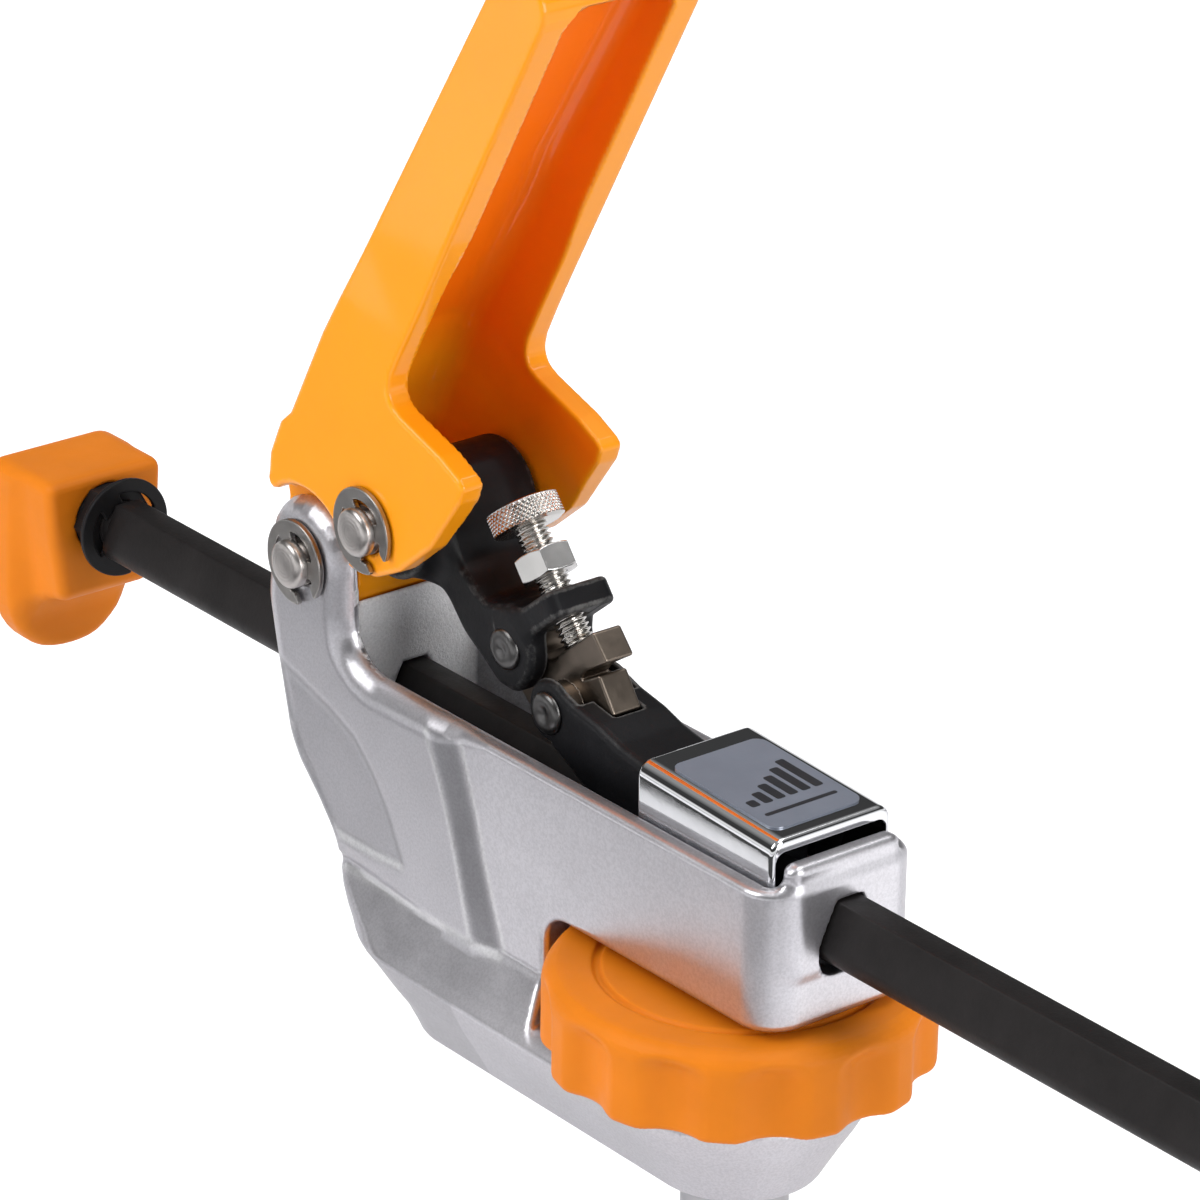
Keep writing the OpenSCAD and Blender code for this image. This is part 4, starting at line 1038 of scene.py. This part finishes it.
EAR_CLIP_Y, FORK_CLIP_Y = 18.7, 18.0
pair("ear_clip", A, EAR_CLIP_Y, -60, "frame", "body_pivot_clips")
pair("fork_clip", B, FORK_CLIP_Y, -48, "handle", "link_pivot_clips")
rod_clip = solid("rod_clip", clip_field((0, ROD_MID), NECK_END - 1.125, -60, 9.83, 4.74, "x"),
                 (NECK_END - 1.7, -10.4, ROD_MID - 10.4), (NECK_END + 0.5, 10.4, ROD_MID + 10.4), 0.24)
dress(rod_clip, M["nylon"], "rod", "black_steel", "pad_clip")


# Pivot pins with domed ends and rivets with a dimple
def two_ended(name, half, centre, around):
    """A pin across the part, from the rows of one of its halves."""
    return turned(name, half + [(r, -h) for r, h in reversed(half)], (centre[0], 0, centre[1]), (0, 1, 0), around)


def pivot_pin(name, centre, y, body, node_name):
    """A pin whose clips start at y."""
    top, groove = y + CLIP_THICK + 0.05 + 2.2, y + CLIP_THICK + 0.05
    rows = [(0, top), (2.0, top - 0.04), (3.3, top - 0.14), (3.9, top - 0.28), (4.3, top - 0.6),
            (PIN_R, top - 1.1), (PIN_R, groove), (3.46, groove), (3.46, y - 0.05), (PIN_R, y - 0.05)]
    obj = tidy(two_ended(name, rows, centre, 80), 40)
    dress(obj, lathe_face(name + "_steel", (0.55, 0.52, 0.50), 0.315, centre), body, "pin_steel", node_name)


pivot_pin("ear_pin", A, EAR_CLIP_Y, "frame", "body_pivot_pin")
pivot_pin("fork_pin", B, FORK_CLIP_Y, "handle", "link_pivot_pin")


def rivet(name, centre, y, body, node_name):
    """A rivet whose heads start at y."""
    rows = [(0, y + 0.72), (0.7, y + 0.78), (1.3, y + 0.98), (2.2, y + 1.16), (3.0, y + 1.05), (3.6, y + 0.72),
            (3.9, y + 0.3), (3.88, y + 0.02), (3.0, y - 0.02)]
    dress(tidy(two_ended(name, rows, centre, 72), 50), M["rivet"], body, "rivet_steel", node_name)


rivet("clevis_rivet", C, LINK_Y + 0.05, "link", "tongue_rivet")
rivet("nose_rivet", D, LEVER_Y + 0.05, "link", "lever_rivet")

# Force screw with a helical thread, its knurled head and its lock nut
tip3 = (TIP[0], 0, TIP[1])


SCREW_R, SCREW_PITCH, SCREW_DEEP, SCREW_LONG = 3.0, 1.0, 0.62, 24.7


def thread(a, r, h):
    """The radius of a thread that fades out towards both ends."""
    if r < 2.9:
        return np.full(a.shape, r)
    fade = min(1.0, max(0.0, (h - 0.2) / 0.8), max(0.0, (SCREW_LONG + 0.1 - h) / 0.8))
    phase = (h / SCREW_PITCH - a / (2 * math.pi)) % 1.0
    rise = np.clip(np.abs(phase - 0.5) * 2 * 1.35 - 0.12, 0, 1)
    return r - SCREW_DEEP * (1 - rise * fade)


rows = [(0, 0.02), (2.5, 0.02), (2.75, 0.2)]
rows += [(SCREW_R, float(h)) for h in np.arange(0.05, SCREW_LONG - 0.1, 0.1) if h > 0.25]
rows += [(2.9, SCREW_LONG), (0, SCREW_LONG)]
screw = turned("thread", rows, tip3, SCREW_AXIS, 64, thread)
dress(tidy(screw, 60), M["bright"], "screw", "screw_nickel", "force_screw")


HEAD_R, HEAD_LOW, HEAD_TOP, GROOVES = 6.65, 22.4, 27.0, 38


def knurl(a, r, h):
    """The radius of crossed grooves on the head's rim."""
    if r < 6.0:
        return np.full(a.shape, r)
    climb = 2 * math.pi * HEAD_R / GROOVES
    p = (a * GROOVES / (2 * math.pi) + (h - HEAD_LOW) / climb) % 1.0
    q = (a * GROOVES / (2 * math.pi) - (h - HEAD_LOW) / climb) % 1.0
    fade = min(1.0, max(0.0, (h - HEAD_LOW - 0.35) / 0.3), max(0.0, (HEAD_TOP - 0.35 - h) / 0.3))
    groove = np.maximum(1 - np.minimum(p, 1 - p) * 3.4, 0), np.maximum(1 - np.minimum(q, 1 - q) * 3.4, 0)
    return r - 0.34 * np.maximum(*groove) * fade


rows = [(0, HEAD_LOW), (5.6, HEAD_LOW), (5.95, HEAD_LOW + 0.05), (6.3, HEAD_LOW + 0.32)]
rows += [(HEAD_R, float(h)) for h in np.arange(HEAD_LOW + 0.4, HEAD_TOP - 0.35, 0.08)]
rows += [(6.3, HEAD_TOP - 0.3), (5.95, HEAD_TOP - 0.05), (5.6, HEAD_TOP), (0, HEAD_TOP)]
head = turned("knurled_knob", rows, tip3, SCREW_AXIS, 12 * GROOVES, knurl)
dress(tidy(head, 50), M["bright"], "screw", "screw_nickel", "knurled_head")


NUT_AT, NUT_HALF, NUT_TURN = 15.4, 2.4, -5.6


def nut_field(x, y, z):
    s, t = on_screw(x, z)
    c, k = cos_sin(NUT_TURN)
    a, b = s * c + y * k, -s * k + y * c
    ring, off = np.hypot(s, y), np.abs(t - NUT_AT)
    f = cut(hex_field(a, b, 10.0), off - NUT_HALF, 0.1)
    f = cut(f, (ring - 5.0 + (off - NUT_HALF) * 1.73) * 0.5, 0.1)
    return np.maximum(f, -(ring - 3.05 + 0.35 * np.maximum(off - 2.0, 0)))


centre = np.array(tip3) + SCREW_AXIS * NUT_AT
dress(solid("jam_nut", nut_field, tuple(centre - 6.8), tuple(centre + 6.8), 0.2),
      M["nut"], "lock", "bright_steel", "lock_nut")

# Knob: scalloped, with a ring groove round its middle
KNOB_R, KNOB_HIGH = 34.3, 16.9
SCALLOP_R = 0.24 * KNOB_R
knob_side = soften([(0, 0), (KNOB_R, 0), (KNOB_R, KNOB_HIGH), (0, KNOB_HIGH)], [0, 1.6, 3.6, 0], 6)


def knob_field(x, y, z):
    h = z - KNOB_Z
    ring = np.hypot(x, y)
    f = poly(knob_side, ring, h)
    a = (np.arctan2(y, x) + math.pi / 12) % (math.pi / 6) - math.pi / 12
    d = np.hypot(ring * np.cos(a) - KNOB_R - 0.72 * SCALLOP_R, ring * np.sin(a)) - SCALLOP_R
    f = drill(f, cut(d, h - 14.4, 3.0), 1.6)
    f = drill(f, np.hypot(ring - 24.8, h - 17.0) - 0.8, 0.3)
    f = np.maximum(f, -cut(hex_field(x, y, 12.8), h - 6.4))
    return np.maximum(f, BOLT_R - ring)


dress(solid("finger_knob", knob_field, (-35, -35, 20.9), (35, 35, 39.2), 0.6),
      M["plastic"], "knob", "orange_plastic", "clamp_knob")

# The nodes that keep their CAD shape
for name, key in (("dog_peg", "peg"), ("peg_cone", "zinc"), ("draw_bolt", "zinc"), ("knob_nut", "brass"),
                  ("thrust_washer", "zinc"), ("grip_plates", "grip")):
    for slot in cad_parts[name].material_slots:
        slot.material = M[key]

# Floor, lamps and world
def stage_plane(name, x0, x1, y0, y1, z, material):
    """A level rectangle, such as the floor, in metres."""
    mesh = bpy.data.meshes.new(name)
    mesh.from_pydata([(x0, y0, z), (x1, y0, z), (x1, y1, z), (x0, y1, z)], [], [(0, 1, 2, 3)])
    mesh.materials.append(material)
    obj = placed(name, mesh)
    return obj


def rays(tree):
    """1 for rays from the camera, and 1 for rays that reflect or pass through."""
    path = node(tree, "ShaderNodeLightPath").outputs
    shine = math_node(tree, "ADD", path["Is Glossy Ray"], path["Is Transmission Ray"], clamp=True)
    return path["Is Camera Ray"], shine


def fresh_tree(block):
    """A material's or world's node tree, emptied."""
    block.use_nodes = True
    block.node_tree.nodes.clear()
    return block.node_tree


floor_mat = bpy.data.materials.new("floor_white")
ft = fresh_tree(floor_mat)
camera_ray, shine = rays(ft)
# Reflections see the table a little darker than it is
pale = ramp(ft, shine, [(0.0, (0.86, 0.86, 0.87)), (1.0, (0.78, 0.78, 0.79))])
lift = math_node(ft, "MULTIPLY_ADD", shine, 0.05, math_node(ft, "MULTIPLY", camera_ray, 0.40))
both = node(ft, "ShaderNodeAddShader")
feed(ft, node(ft, "ShaderNodeBsdfDiffuse", Color=pale).outputs["BSDF"], both.inputs[0])
feed(ft, node(ft, "ShaderNodeEmission", Strength=lift).outputs["Emission"], both.inputs[1])
node(ft, "ShaderNodeOutputMaterial", Surface=both.outputs["Shader"])
stage_plane("floor", -6, 6, -6, 6, -0.0405, floor_mat)

world = bpy.data.worlds.new("studio")
bpy.context.scene.world = world
wt = fresh_tree(world)
camera_ray, shine = rays(wt)
# Polished parts see white at the horizon and a darker room overhead
up_share = node(wt, "ShaderNodeSeparateXYZ", Vector=node(wt, "ShaderNodeTexCoord").outputs["Generated"]).outputs["Z"]
sky = ramp(wt, up_share, [(0.10, 0.95), (0.22, 0.04), (0.5, 0.05), (0.72, 0.32), (1.0, 0.32)])
room, above, white = (node(wt, "ShaderNodeBackground", Color=c, Strength=1.0).outputs["Background"]
                      for c in ((0.30, 0.30, 0.31, 1), sky, (1, 1, 1, 1)))


def either(share, a, b):
    """One world shader or the other."""
    mix = node(wt, "ShaderNodeMixShader", Fac=share)
    feed(wt, a, mix.inputs[1])
    feed(wt, b, mix.inputs[2])
    return mix.outputs["Shader"]


node(wt, "ShaderNodeOutputWorld", Surface=either(camera_ray, either(shine, room, above), white))


# Cards on the table, seen only as reflections: a dark cloth in front and the table's lit back
def table_card(name, x0, x1, y0, y1, z, grey, strength):
    mat, tree, shader = principled(name, (grey, grey, grey), 0.9)
    varied(tree, shader, (grey, grey, grey), 20.0, 0.1)
    shader.inputs["Emission Color"].default_value = (1, 1, 1, 1)
    shader.inputs["Emission Strength"].default_value = strength
    obj = stage_plane(name, x0, x1, y0, y1, z, mat)
    for kind in ("camera", "diffuse", "shadow", "transmission"):
        setattr(obj, "visible_" + kind, False)


table_card("front_cloth", -2.5, 2.5, -0.330, -0.161, -0.0400, 0.03, 0)
table_card("table_back", 0.10, 0.9, 0.05, 0.9, -0.0398, 0.8, 0.35)


def lamp(name, where, size, power, shines=True):
    """An area lamp aimed at the part's middle."""
    data = bpy.data.lights.new(name, "AREA")
    data.shape = "RECTANGLE"
    data.size, data.size_y = size
    data.energy = power
    obj = placed(name, data)
    obj.location = where
    obj.rotation_euler = (Vector(MIDDLE) - Vector(where)).to_track_quat("-Z", "Y").to_euler()
    obj.visible_glossy = shines


MIDDLE = (-0.07, 0.0, 0.07)
lamp("key", (-0.35, -0.85, 0.95), (0.7, 0.7), 6.5)
lamp("front_left", (-0.55, -1.15, 0.22), (0.8, 0.5), 6.5, False)
lamp("top", (0.15, 0.25, 1.15), (0.9, 0.6), 5.0)
lamp("rear_left", (-1.05, 0.55, 0.55), (0.6, 0.6), 2.2, False)
lamp("right", (1.05, 0.1, 0.5), (0.6, 0.7), 7.3)

# Camera, from the photograph's perspective
cam_data = bpy.data.cameras.new("camera")
cam_data.sensor_width = 36
cam_data.lens = 180
cam_data.clip_start = 0.01
cam = placed("camera", cam_data)
CAM_AT = (0.697257, -0.596226, 0.508896)
az, el, roll = (math.radians(v) for v in (51.03787, 23.70414, 0.94347))
back = Vector((math.sin(az) * math.cos(el), -math.cos(az) * math.cos(el), math.sin(el)))
right = Vector((0, 0, 1)).cross(back).normalized()
up = back.cross(right)
r2 = right * math.cos(roll) + up * math.sin(roll)
u2 = up * math.cos(roll) - right * math.sin(roll)
cam.matrix_world = Matrix([(r2[i], u2[i], back[i], CAM_AT[i]) for i in range(3)] + [(0, 0, 0, 1)])
bpy.context.scene.camera = cam
bpy.context.scene.view_settings.view_transform = "Standard"
